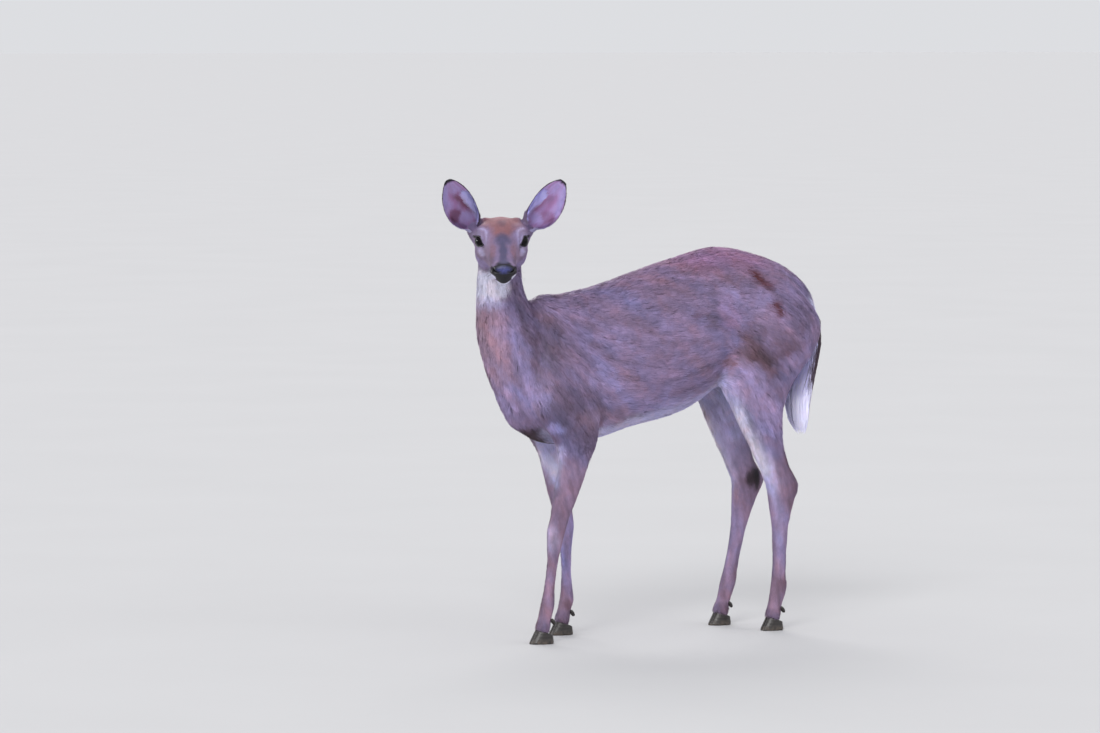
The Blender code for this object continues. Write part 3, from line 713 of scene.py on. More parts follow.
    def body_tint(self, places: Array, normals: Array, on_body: Array) -> Array:
        """The colour of neck, trunk and legs.

        Args:
            places: where to read it.
            normals: the skin's normals there.
            on_body: 1 away from the head, 0 on it.

        Returns:
            Linear colours, one a row.
        """
        stir = 0.010 * self.ragged.vectors(places, 0.035) + 0.004 * self.ragged.vectors(places, 0.009)
        body, thin = self.folded(places + stir), self.folded(places + self.FEATHER * stir)
        colour = np.tile(P.GREY_BROWN.linear, (len(places), 1))
        for mark in BODY_PATCHES + LEG_PATCHES:
            colour = self.laid(colour, mark, thin if isinstance(mark.form, Stripe) else body, on_body)
        colour *= 1 + self.streaks(places, normals, 0.009, 0.036)[:, None] * 0.30 * on_body[:, None]
        warmth = np.outer(self.streaks(places + 1.7, normals, 0.019, 0.060), (0.09, 0.0, -0.07))
        colour *= 1 + warmth * on_body[:, None]
        x, _, z = body.T
        inward = -normals[:, 1] * np.sign(places[:, 1] - MIDDLE_Y)
        inner_leg = ease(inward, 0.15, 0.65) * ease(z, 0.36, 0.46) * ease(z, 0.66, 0.58)
        # the hind legs' pale inner side is laid weaker than the forelegs', as painted shade over it
        inner_leg *= np.where(x < 0, 0.90, 0.30)
        under = ease(normals[:, 2], -0.45, -0.8) * ease(z, 0.44, 0.47) * ease(x, -0.16, -0.10)
        for strength in (inner_leg, under * 0.85):
            colour = blend(colour, P.PALE.linear, strength * on_body)
        throat = ease(normals[:, 0], 0.55, 0.05)
        for mark in THROAT_PATCHES:
            colour = self.laid(colour, mark, body, throat)
        return colour

    @staticmethod
    def eye_tint(colour: Array, folded: Array, face: Array) -> Array:
        """The colours with pale brow and ring, dark lids and the mouth's line laid over them.

        Args:
            colour: the colours so far.
            folded: their places in the folded head frame.
            face: 1 on the head, 0 away from it.

        Returns:
            Linear colours, one a row.
        """
        measure, far, _ = OPENING.reach(folded)
        near_eye = ease(far, 0.034, 0.026)
        bearing = OPENING.bearing(folded)
        above = ease(bearing, -0.8, -0.2) * ease(bearing, 2.6, 2.0)
        brow = np.exp(-(((far - 0.0270) / 0.0026) ** 2)) * above
        ring = ease(measure, 1.15, 1.3) * ease(measure, 2.1, 1.6) * near_eye
        colour = blend(colour, P.PALE.linear, face * np.maximum(0.62 * brow, 0.30 * ring))
        lash_line = ease(measure, 1.34, 1.12) * near_eye
        corners = [corner.share(folded) for corner in EYE_CORNERS]
        dark = np.max([lash_line, *corners, ease(MOUTH.at(folded), 0.0009, 0.0022)], axis=0)
        return blend(colour, P.BLACK.linear, dark)

    def streaks(self, places: Array, normals: Array, size: float, reach: float) -> Array:
        """Soft noise drawn out along the lie of the hair.

        Args:
            places: where to read it.
            normals: the skin's normals there.
            size: how wide the streaks are.
            reach: half their length.

        Returns:
            Values about 0, one for each place.
        """
        lie = self.lie(places, normals)
        steps = np.linspace(-reach, reach, 9)
        return np.sum([self.mottle.at(places + lie * step, size) for step in steps], axis=0) / 3

    def laid(self, colour: Array, mark: Patch, places: Array, share: Array) -> Array:
        """The colours with one patch laid over them."""
        return blend(colour, mark.pigment.linear, mark.form.share(places) * mark.strength * share)

    def bare(self, places: Array) -> Array:
        """1 where no hair grows: nose, lids' edges and the eye's opening.

        Args:
            places: where to read it.

        Returns:
            One share for each place.
        """
        folded = HEAD.folded(places)
        measure, far, _ = OPENING.reach(folded)
        opening = ease(measure, 1.22, 1.10) * (far < 0.026)
        return np.maximum(nose_share(folded), opening)


COAT = Coat()


# --- meshes
def show(name: str, data: bpy.types.ID) -> Object:
    """A new object of a mesh, lamp or camera, in the scene.

    Args:
        name: the object's name.
        data: what it shows.

    Returns:
        The object.
    """
    made = bpy.data.objects.new(name, data)
    bpy.context.scene.collection.objects.link(made)
    return made


def place_piece(piece: Object, finish: "Finish", slot: str, *stands_for: str) -> Object:
    """Finishes a piece, rides it on the body, and hides the fixed nodes that it stands for.

    Args:
        piece: the piece.
        finish: what its surface looks like.
        slot: not used.
        stands_for: the fixed nodes that it replaces.

    Returns:
        The piece.
    """
    piece.data.materials.append(finish.material())
    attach(piece, BODY)
    if stands_for:
        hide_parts(*stands_for)
    LOG.info("%s: %d faces", piece.name, len(piece.data.polygons))
    return piece


def shade_smooth(mesh: Mesh) -> Mesh:
    """The mesh, shaded smooth."""
    mesh.polygons.foreach_set("use_smooth", np.ones(len(mesh.polygons), bool))
    return mesh


def mesh_of(bm: bmesh.types.BMesh, name: str) -> Mesh:
    """A smooth mesh of all that has been built.

    Args:
        bm: the build, which this ends.
        name: the mesh's name.

    Returns:
        The mesh.
    """
    mesh = bpy.data.meshes.new(name)
    bm.to_mesh(mesh)
    bm.free()
    return shade_smooth(mesh)


def applied(piece: Object) -> Mesh:
    """A new mesh of the piece with its modifiers applied."""
    return bpy.data.meshes.new_from_object(piece.evaluated_get(bpy.context.evaluated_depsgraph_get()))


def remeshed(rough: Mesh, grid: float, name: str) -> Mesh:
    """Fuses overlapping closed forms into one, on an even grid.

    Args:
        rough: the forms.
        grid: the grid's spacing.
        name: the new mesh's name.

    Returns:
        The new mesh, without materials.
    """
    block = show("block", rough)
    fuse = block.modifiers.new("fuse", "REMESH")
    fuse.mode = "VOXEL"
    fuse.voxel_size = grid
    mesh = applied(block)
    bpy.data.objects.remove(block)
    mesh.name = name
    mesh.materials.clear()
    return mesh


def tree_of(points: Array) -> KDTree:
    """The points, sorted for nearest().

    Args:
        points: the points, one a row.

    Returns:
        The tree.
    """
    tree = KDTree(len(points))
    for index, point in enumerate(points):
        tree.insert(point, index)
    tree.balance()
    return tree


def nearest(tree: KDTree, places: Array) -> Array:
    """The number of the tree's point nearest to each place."""
    return np.array([tree.find(place)[1] for place in places.tolist()])


def read(collection: bpy.types.bpy_prop_collection, name: str, width: int, kind: type = np.float64) -> Array:
    """One property of every item of a mesh's collection, an item a row.

    Args:
        collection: the mesh's collection.
        name: the property.
        width: how many numbers it has.
        kind: their type.

    Returns:
        An item a row.
    """
    found = np.empty(len(collection) * width, kind)
    collection.foreach_get(name, found)
    return found.reshape(-1, width)


def add_marks(mesh: Mesh, tint: Array, growth: Array, bare: Array | None = None) -> None:
    """Writes what the finishes read from each point.

    Args:
        mesh: the mesh to mark.
        tint: its linear colour, a point a row.
        growth: share of the way to the tip, the lock's shade and the hair's own shade, a point a row.
        bare: how bare the skin is, or None.
    """
    colours = mesh.attributes.new("tint", "FLOAT_COLOR", "POINT")
    colours.data.foreach_set("color", np.column_stack([tint, np.ones(len(tint))]).ravel())
    mesh.attributes.new("growth", "FLOAT_VECTOR", "POINT").data.foreach_set("vector", growth.ravel())
    if bare is not None:
        mesh.attributes.new("bare", "FLOAT", "POINT").data.foreach_set("value", bare.ravel())


class Surface:
    """A mesh's points and edges as rows of numbers, to be moved together."""

    def __init__(self, mesh: Mesh) -> None:
        """Reads the mesh.

        Args:
            mesh: the mesh to read.
        """
        self.mesh = mesh
        self.points = read(mesh.vertices, "co", 3)
        self.edges = read(mesh.edges, "vertices", 2, np.int32)

    def relax(self, weight: Array, times: int) -> None:
        """Draws each point towards the middle of its neighbours.

        Args:
            weight: how far, from 0 to 1, a point each.
            times: how often.
        """
        here, there = np.concatenate([self.edges, self.edges[:, ::-1]]).T
        count = np.maximum(np.bincount(here, minlength=len(self.points)), 1)
        for _ in range(times):
            sums = [np.bincount(here, self.points[there, axis], len(self.points)) for axis in range(3)]
            middle = np.stack(sums, 1) / count[:, None]
            self.points += (middle - self.points) * weight[:, None]

    def melt(self, weight: Array, back: float, times: int) -> None:
        """Rounds the edges without shrinking the form.

        Args:
            weight: how far points are drawn together, a point each.
            back: the share of it that they are then pushed apart.
            times: how often.
        """
        for _ in range(times):
            self.relax(weight, 1)
            self.relax(-back * weight, 1)

    def write(self) -> None:
        """Puts the points back in the mesh."""
        self.mesh.vertices.foreach_set("co", self.points.ravel())
        self.mesh.update()

    def normals(self) -> Array:
        """The points' normals, after they have been put back."""
        self.write()
        return read(self.mesh.vertex_normals, "vector", 3)


def refine(mesh: Mesh, chosen: Array) -> None:
    """Halves the edges between chosen points, and parts the faces there in four.

    Args:
        mesh: the mesh to refine.
        chosen: whether each point is chosen.
    """
    bm = bmesh.new()
    bm.from_mesh(mesh)
    edges = [edge for edge in bm.edges if chosen[edge.verts[0].index] and chosen[edge.verts[1].index]]
    bmesh.ops.subdivide_edges(bm, edges=edges, cuts=1, use_grid_fill=True)
    bm.to_mesh(mesh)
    bm.free()


# --- skin
@dataclass
class Skin:
    """One skin over all the flesh but the ears, under the coat by its depth."""

    grid: float = 0.0040
    most_faces: int = 192000
    seam: float = 0.0004  # how far the flesh's pieces are grown to meet
    settle_times: int = 60
    draw_steps: int = 4  # in which the skin is drawn in under the coat
    fine: tuple[float, ...] = (0.112, 0.036, 0.023)  # reaches in which the mesh is made finer, one by one
    flesh: tuple[str, ...] = (
        "head", "neck", "trunk", "foreleg_left", "foreleg_right", "hindleg_left", "hindleg_right",
    )
    eyes: tuple[str, ...] = ("eye_left", "eye_right")
    ground: Mesh | None = None  # the same skin with all its faces, for the hair to root in
    # height, X, half thickness and half width of the tail under its hair
    tail: Table = (
        (0.835, 0.450, 0.016, 0.018), (0.790, 0.474, 0.012, 0.014), (0.745, 0.488, 0.011, 0.013),
        (0.690, 0.489, 0.009, 0.012), (0.640, 0.479, 0.007, 0.010), (0.600, 0.469, 0.004, 0.006),
    )

    def build(self) -> Object:
        """Makes the skin with its face and marks.

        Returns:
            The skin.
        """
        mesh = self.fused()
        self.soften(mesh)
        for reach in self.fine:
            self.sharpen(mesh, reach)
        self.carve_face(mesh)
        self.ground = mesh
        skin = self.thinned(mesh)
        self.mark(shade_smooth(skin.data))
        return place_piece(skin, HideFinish("doe_hide"), "coat", *self.flesh, "tail")

    def thinned(self, mesh: Mesh) -> Object:
        """The skin with fewer faces where long hair covers it.

        Args:
            mesh: the whole skin.

        Returns:
            A lighter copy of it.
        """
        skin = show("skin", mesh.copy())
        covered = ease(from_line(HEAD.local(read(mesh.vertices, "co", 3)), SKULL_LINE), 0.07, 0.10)
        group = skin.vertex_groups.new(name="covered")
        levels = 10
        for level in range(1, levels + 1):
            rows = np.nonzero(np.round(covered * levels) == level)[0]
            group.add(rows.tolist(), level / levels, "REPLACE")
        lighter = skin.modifiers.new("lighter", "DECIMATE")
        lighter.ratio = min(1.0, self.most_faces / (2 * len(mesh.polygons)))
        lighter.vertex_group = group.name
        skin.data = applied(skin)
        skin.modifiers.clear()
        skin.vertex_groups.clear()
        skin.data.name = "skin"
        return skin

    def fused(self) -> Mesh:
        """The flesh, the eyeballs and the tail's core as one closed mesh.

        Returns:
            The closed mesh.
        """
        bm = bmesh.new()
        for name in self.flesh + self.eyes:
            bm.from_mesh(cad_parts[name].data)
        bmesh.ops.remove_doubles(bm, verts=bm.verts, dist=0.00001)
        bm.normal_update()
        for vert in bm.verts:
            vert.co += vert.normal * self.seam
        self.add_tail(bm)
        return remeshed(mesh_of(bm, "clay"), self.grid, "skin")

    def add_tail(self, bm: bmesh.types.BMesh) -> None:
        """Adds the tail's core as a closed loft.

        Args:
            bm: the build to add it to.
        """
        sides = 12
        loops = []
        for height, x, thick, wide in self.tail:
            loop = []
            for k in range(sides):
                turn = 2 * math.pi * k / sides
                y = MIDDLE_Y + wide * math.sin(turn)
                loop.append(bm.verts.new((x + thick * math.cos(turn), y, height)))
            loops.append(loop)
        faces = [bm.faces.new(loops[0][::-1]), bm.faces.new(loops[-1])]
        for upper, lower in zip(loops, loops[1:]):
            for k in range(sides):
                after = (k + 1) % sides
                faces.append(bm.faces.new((upper[k], upper[after], lower[after], lower[k])))
        bmesh.ops.recalc_face_normals(bm, faces=faces)

    def soften(self, mesh: Mesh) -> None:
        """Melts the facets, then draws the skin in under the coat.

        Args:
            mesh: the skin.
        """
        surface = Surface(mesh)
        softness = COAT.by_part(surface.points, SOFTNESS)
        softness *= 1 - 0.8 * COAT.shares(surface.points)["foot"]
        surface.melt(softness, 0.97, self.settle_times)
        deep = COAT.depth(surface.points)
        deep *= 1 - 0.9 * ease(from_line(surface.points, self.tail_line()), 0.035, 0.015)
        for _ in range(self.draw_steps):
            surface.points -= surface.normals() * deep[:, None] / self.draw_steps
            surface.relax(softness, 2)
        for swell in BODY_SWELLS:
            surface.points += swell.at(COAT.folded(surface.points))
        surface.write()

    def tail_line(self) -> Array:
        """The middle line of the free tail."""
        return np.array([(x, MIDDLE_Y, height) for height, x, _, _ in self.tail[2:]])

    def sharpen(self, mesh: Mesh, reach: float) -> None:
        """Makes the mesh finer near the parts of the face.

        Args:
            mesh: the skin.
            reach: how far from eyes and nose, or from the whole head where it is large.
        """
        local = HEAD.folded(read(mesh.vertices, "co", 3))
        whole_head = reach > 0.1
        if whole_head:
            chosen = from_line(local, SKULL_LINE) < reach * 0.7
        else:
            eye = np.linalg.norm(local - OPENING.middle, axis=1) < reach
            lines = from_line(local, np.array(MOUTH.line)), from_line(local, np.array(NOSTRIL.line))
            chosen = eye | (np.min(lines, axis=0) < (reach * 0.35 if reach < 0.03 else reach * 0.75))
        refine(mesh, chosen)
        surface = Surface(mesh)
        local = HEAD.folded(surface.points)
        if whole_head:
            near = ease(from_line(local, SKULL_LINE), reach, reach * 0.6)
        else:
            near = ease(local[:, 0], -0.06, -0.04)
        surface.relax(0.35 * near, 6)
        surface.write()

    def carve_face(self, mesh: Mesh) -> None:
        """Cuts mouth, nostrils and creases, and wraps the lids round the eyeballs.

        Args:
            mesh: the skin.
        """
        surface = Surface(mesh)
        local = HEAD.local(surface.points)
        near = ease(local[:, 0], -0.08, -0.05) * HEAD.face_share(surface.points)
        folded = mirrored(local)
        moved = np.sum([swell.at(folded) for swell in FACE_SWELLS], axis=0)
        moved[:, 1] *= side_of(local)
        surface.points += moved @ HEAD.axes
        normals = surface.normals()
        folded = HEAD.folded(surface.points)
        deep = np.sum([crease.at(folded) for crease in CREASES], axis=0) * near
        surface.points -= normals * deep[:, None]
        local = HEAD.local(surface.points)
        folded = mirrored(local)
        folded = folded + self.lid_moves(folded) * near[:, None]
        folded[:, 1] *= side_of(local)
        surface.points = np.where(near[:, None] > 0, HEAD.world(folded), surface.points)
        surface.write()

    def lid_moves(self, folded: Array) -> Array:
        """How far the lids' skin moves, in or out from the middle of the eyeball.

        Args:
            folded: the skin's points in the folded head frame.

        Returns:
            A move for each point.
        """
        measure, far, height = OPENING.reach(folded)
        ball = OPENING.radius
        hugging = ease(measure, 2.3, 1.2)
        edge = ball + OPENING.lid + 0.0006 * np.exp(-(((measure - 1.16) / 0.12) ** 2))
        wanted = far + (edge - far) * hugging
        fold = np.where(height > 0, 0.0011, 0.0006) * np.exp(-(((measure - 1.52) / 0.11) ** 2))
        pouch = np.where(height > 0, 0.0010, 0.0003) * np.exp(-(((measure - 1.85) / 0.20) ** 2))
        wanted += pouch - fold
        wanted += (ball - 0.0045 - wanted) * ease(measure, 1.03, 0.95)
        moved = np.where((far < 0.045) & (measure < 2.6), wanted - far, 0.0)
        return unit(folded - OPENING.middle) * moved[:, None]

    def mark(self, mesh: Mesh) -> None:
        """Writes the markings that the coat also carries.

        Args:
            mesh: the skin.
        """
        surface = Surface(mesh)
        normals = surface.normals()
        local = HEAD.folded(surface.points)
        tint = blend(COAT.tint(surface.points, normals), P.BLACK.linear, nose_share(local))
        tint = blend(tint, P.NOSE_SHEEN.linear, 0.75 * NOSE_SHINE.share(local))
        close = COAT.by_part(surface.points, NEARNESS)
        growth = np.stack([close, np.full(len(close), 0.5), np.full(len(close), 0.5)], 1)
        add_marks(mesh, tint, growth, COAT.bare(surface.points))


# --- blades of hair
HAIR_PATCH = 0.003  # size of a hair's place on its bake map
MAP_EDGE = 0.01  # kept free round that map


@dataclass
class Hair:
    """Many hairs, one a row: the points along each, and how each looks."""

    spines: Array  # hair, point, axis
    sides: Array  # the way each is wide
    widths: Array
    tints: Array
    locks: Array
    strands: Array
    spots: Array  # place of each root on the unwrapped skin, from 0 to 1
    faced: Array  # the way each hair's shading faces

    def mesh(self, name: str) -> Mesh:
        """All hairs as one mesh of pointed blades with their bake map and marks.

        Args:
            name: the mesh's name.

        Returns:
            The mesh.
        """
        own = np.cross(self.sides, self.spines[:, -1] - self.spines[:, 0])
        turned = np.where((own * self.faced).sum(1, keepdims=True) < 0, -1.0, 1.0)
        own, self.sides = own * turned, self.sides * turned
        count, points = self.spines.shape[:2]
        corners = 2 * (points - 1) + 1
        share = np.arange(points) / (points - 1)
        profile = np.where(share == 0, 0.7, 1.0)[:-1]
        across = self.sides[:, None] * (self.widths[:, None] * profile / 2)[:, :, None]
        verts = np.empty((count, corners, 3))
        verts[:, 0:-1:2] = self.spines[:, :-1] - across
        verts[:, 1:-1:2] = self.spines[:, :-1] + across
        verts[:, -1] = self.spines[:, -1]
        loops, starts = self.faces(points)
        order = (np.arange(count)[:, None] * corners + loops).ravel()
        mesh = bpy.data.meshes.new(name)
        mesh.vertices.add(count * corners)
        mesh.vertices.foreach_set("co", verts.ravel())
        mesh.loops.add(len(order))
        mesh.loops.foreach_set("vertex_index", order.astype(np.int32))
        mesh.polygons.add(count * len(starts))
        begins = np.arange(count)[:, None] * len(loops) + starts
        mesh.polygons.foreach_set("loop_start", begins.ravel().astype(np.int32))
        mesh.update(calc_edges=True)
        shade_smooth(mesh)
        at = np.repeat(share, 2)[: corners - 1].tolist() + [1.0]
        self.write_map(mesh, loops, np.array(at), corners)
        growth = np.stack(
            [np.tile(at, count), np.repeat(self.locks, corners), np.repeat(self.strands, corners)], 1
        )
        add_marks(mesh, np.repeat(self.tints, corners, axis=0), growth)
        shading = unit(unit(own) * 0.45 + self.faced)
        mesh.normals_split_custom_set_from_vertices(np.repeat(shading, corners, axis=0))
        return mesh

    @staticmethod
    def faces(points: int) -> tuple[Array, Array]:
        """The corners of one blade's faces in turn, and where each face begins among them.

        Args:
            points: how many points a blade has.

        Returns:
            The corners, and the beginnings.
        """
        loops: list[int] = []
        starts: list[int] = []
        for k in range(points - 2):
            starts.append(len(loops))
            loops += [2 * k, 2 * k + 1, 2 * k + 3, 2 * k + 2]
        starts.append(len(loops))
        last = 2 * (points - 2)
        return np.array(loops + [last, last + 1, last + 2]), np.array(starts)

    def write_map(self, mesh: Mesh, loops: Array, at: Array, corners: int) -> None:
        """Lays each blade as a small patch at its root's place on the unwrapped skin.

        Args:
            mesh: the blades.
            loops: the corners of one blade's faces.
            at: how far each corner is on the way to the tip.
            corners: how many corners a blade has.
        """
        half = HAIR_PATCH / 2
        aside = np.tile([-half, half], corners)[: corners - 1].tolist() + [0.0]
        offset = np.stack([aside, (at - 0.5) * HAIR_PATCH], 1)
        spots = MAP_EDGE + (1 - 2 * MAP_EDGE) * self.spots
        uv = spots[:, None] + offset[loops]
        mesh.uv_layers.new(name=BAKE_MAP).uv.foreach_set("vector", uv.astype(np.float32).ravel())


def unwrapped(places: Array, axis: int) -> Array:
    """Places round a limb or trunk, unrolled about its own middle line.

    Args:
        places: the places, in a frame where the limb runs along one axis.
        axis: which axis that is.

    Returns:
        Two numbers from 0 to 1 for each place: how far along, and how far round.
    """
    others = [k for k in range(3) if k != axis]
    run = places[:, axis]
    low, high = run.min(), run.max()
    share = (run - low) / max(high - low, 1e-9)
    bins = 24
    cell = np.minimum((share * bins).astype(int), bins - 1)
    count = np.bincount(cell, minlength=bins)
    centres = (np.arange(bins) + 0.5)[count > 0] / bins
    off = []
    for other in others:
        mean = (np.bincount(cell, places[:, other], bins) / np.maximum(count, 1))[count > 0]
        off.append(places[:, other] - np.interp(share, centres, mean))
    return np.stack([share, np.arctan2(off[0], off[1]) / (2 * math.pi) + 0.5], 1)


SHOULDER_END, FLANK_END, FORELEG_END = -0.03, 0.20, 0.05  # X of the borders between stretches of coat


class Region(Enum):
    """The stretches of coat: the piece's name, the points of a blade, and how the skin is unrolled."""

    FACE = ("coat_face", 2, "head")
    CROWN = ("coat_crown", 2, "head")
    NECK = ("coat_neck", 3, "upright")
    SHOULDER_LEFT = ("coat_shoulder_left", 3, "level")
    SHOULDER_RIGHT = ("coat_shoulder_right", 3, "level")
    FLANK_LEFT = ("coat_flank_left", 3, "level")
    FLANK_RIGHT = ("coat_flank_right", 3, "level")
    RUMP_LEFT = ("coat_rump_left", 3, "level")
    RUMP_RIGHT = ("coat_rump_right", 3, "level")
    FORELEGS = ("coat_forelegs", 2, "pair")
    HINDLEGS = ("coat_hindlegs", 2, "pair")

    @staticmethod
    def of(places: Array) -> Array:
        """The number of each place's region, in the order of this list.

        Args:
            places: the places, one a row.

        Returns:
            One number for each place.
        """
        number = {kind.name: index for index, kind in enumerate(Region)}
        x, y, z = places.T
        lefts = [number[f"{part}_LEFT"] for part in ("SHOULDER", "FLANK", "RUMP")]
        trunk = np.select([x < SHOULDER_END, x < FLANK_END], lefts[:2], lefts[2])
        trunk += y > MIDDLE_Y  # each right side follows its left
        leg = np.where(x < FORELEG_END, number["FORELEGS"], number["HINDLEGS"])
        body = np.where((z < 0.47) | ((z < 0.50) & (np.abs(x + 0.2) > 0.12)), leg, trunk)
        neck = (x < -0.315) | ((z > 0.74) & (x < -0.255))
        body = np.where(neck & (z > 0.5), number["NECK"], body)
        head = np.where(HEAD.local(places)[:, 0] > 0.02, number["FACE"], number["CROWN"])
        return np.where(HEAD.face_share(places) > 0.5, head, body)


@dataclass
class BodyCoat:
    """The hair of the whole body but ears and tail, rooted on the skin."""

    ground: Mesh
    solids: tuple[str, ...]  # the fixed nodes whose surface the tips reach
    seed: int = 5
    sink: float = 0.0006
    pull: float = 0.32  # how far a lock's tips are drawn together
    mingle: float = 0.006  # how far neighbouring stretches mingle at their edges
    mingle_leg: float = 0.018  # and in height where legs meet the trunk
    leg_top: float = 0.56
    by_ear: tuple[float, float] = (0.011, 0.0045)  # more length and more rise round each ear's root
    by_foot: float = 0.0014  # how far hair stands off above the hooves
    fringe: float = 0.0018  # and more, where it hangs over them
    fringe_top: float = 0.070
    fringe_full: float = 0.046
    sleek: tuple[float, float] = (0.30, 0.70)  # share of length and of rise lost on the withers
    neck_shares: Point = (-0.42, -0.30, 0.70)  # change in length, width and number of hairs on the neck

    def build(self) -> list[Object]:
        """Makes every region's piece.

        Returns:
            The pieces.
        """
        made = []
        rng = np.random.default_rng(self.seed)
        mesh = self.ground
        mesh.calc_loop_triangles()
        self.points = read(mesh.vertices, "co", 3)
        self.normals = read(mesh.vertex_normals, "vector", 3)
        self.tree = tree_of(self.points)
        self.read_skin()
        triangles = read(mesh.loop_triangles, "vertices", 3, np.int32)
        corners = self.points[triangles]
        first, second, third = corners.transpose(1, 0, 2)
        size = np.linalg.norm(np.cross(second - first, third - first), axis=1) / 2
        wanted = size * self.density[triangles].mean(1) * (self.bare[triangles].max(1) < 0.4)
        wanted *= ~self.inside_eye()[triangles].any(1)
        beneath = (self.normals[:, 2] < -0.5) & (self.points[:, 2] < 0.06)
        wanted *= ~beneath[triangles].all(1)
        middles = corners.mean(1)
        middles += rng.normal(0, self.mingle, middles.shape)
        middles[:, 2] += rng.normal(0, self.mingle_leg, len(middles)) * (middles[:, 2] < self.leg_top)
        region = Region.of(middles)
        for number, kind in enumerate(Region):
            share = wanted * (region == number)
            count = int(share.sum())
            name, points, way = kind.value
            chosen = rng.choice(len(share), count, p=share / share.sum())
            hair = self.grown(triangles[chosen], points, way, rng)
            made.append(place_piece(show(name, hair.mesh(name)), CoatFinish("doe_coat"), "coat"))
        return made

    def inside_eye(self) -> Array:
        """Whether each point of the skin lies behind the eyeball's front."""
        measure, far, _ = OPENING.reach(HEAD.folded(self.points))
        return (measure < 1.08) & (far < 0.030)

    def read_skin(self) -> None:
        """Works out how the hair grows at every point of the skin."""
        at = self.points
        foot = COAT.shares(at)["foot"]
        folded = HEAD.folded(at)
        measure, far, _ = OPENING.reach(folded)
        lids = ease(measure, 2.4, 1.2) * (far < 0.045)
        self.bare = COAT.bare(at)
        self.lie = self.parted_round_eyes(COAT.lie(at, self.normals), lids)
        ear = EAR_STUMP.share(folded)
        outward = 0.53 * side_of(HEAD.local(at))
        upward = np.stack([np.zeros(len(at)), outward, np.full(len(at), 0.84)], 1) @ HEAD.axes
        self.lie = along_surface(self.lie + upward * (2.5 * ear)[:, None], self.normals)
        short = 1 - 0.5 * lids
        neck = ease(at[:, 0], -0.29, -0.35) * ease(at[:, 2], 0.66, 0.80)
        self.length = COAT.by_part(at, LENGTH) * short + self.by_ear[0] * ear
        longer, wider, denser = self.neck_shares
        self.length *= 1 + longer * neck
        self.rise = self.room() * short * (1 - foot) + self.by_foot * foot
        self.rise += self.fringe * ease(at[:, 2], self.fringe_top - 0.004, self.fringe_full)
        self.rise += self.by_ear[1] * ear
        self.free = ease(at[:, 2], self.fringe_top, self.fringe_full)  # hair that hangs clear of the skin
        flat = WITHERS.form.share(COAT.folded(at))  # hair of the withers lies close
        self.length *= 1 - self.sleek[0] * flat
        self.rise *= 1 - self.sleek[1] * flat
        shown = 0.5 * self.length * (1 - HEAD.face_share(at))  # a hair shows beyond its root
        self.tint = COAT.tint(at + self.lie * shown[:, None], self.normals)
        self.width = COAT.by_part(at, WIDTH) * (1 - 0.3 * lids) * (1 + wider * neck)
        self.lock = COAT.by_part(at, LOCK)
        self.density = COAT.by_part(at, DENSITY) * (1 + denser * neck)

    def room(self) -> Array:
        """How far the coat's tips may stand off, so that they reach the fixed solids' surface.

        Returns:
            How far, for each point of the skin.
        """
        bm = bmesh.new()
        for name in self.solids:
            bm.from_mesh(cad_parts[name].data)
        solid = BVHTree.FromBMesh(bm)
        bm.free()
        usual = COAT.depth(self.points)
        room = usual.copy()
        for row in np.nonzero(usual > 0.0012)[0]:
            hit, _, _, far = solid.ray_cast(Vector(self.points[row]), Vector(self.normals[row]), 0.03)
            if hit:
                room[row] = far
        for swell in BODY_SWELLS:
            room += swell.at(COAT.folded(self.points))[:, 2]
        surface = Surface(self.ground)
        surface.points = np.stack([np.clip(room, 0.5 * usual, 1.8 * usual)] * 3, 1)
        surface.relax(np.full(len(room), 0.6), 8)
        return surface.points[:, 0]

    def parted_round_eyes(self, lie: Array, lids: Array) -> Array:
        """The lie with the hair of the lids turned away from the eye.

        Args:
            lie: the way the hair lies.
            lids: 1 on the lids, 0 away from them.

        Returns:
            One direction for each point of the skin.
        """
        local = HEAD.local(self.points)
        way = mirrored(local) - OPENING.middle
        way[:, 1] *= side_of(local)
        away = along_surface(way @ HEAD.axes, self.normals)
        return along_surface(lie + away * (1.3 * lids)[:, None], self.normals)

    def grown(self, triangles: Array, points: int, way: str, rng: Chance) -> Hair:
        """Grows one hair on each triangle.

        Args:
            triangles: the skin's points at the corners of each hair's own triangle.
            points: how many points a hair has.
            way: how its region is unwrapped.
            rng: source of chance.

        Returns:
            The hairs.
        """
        count = len(triangles)
        weights = rng.dirichlet((1, 1, 1), count)

        def blended(values: Array) -> Array:
            """What the points say, at each root between them."""
            return (values[triangles] * (weights[:, :, None] if values.ndim > 1 else weights)).sum(1)

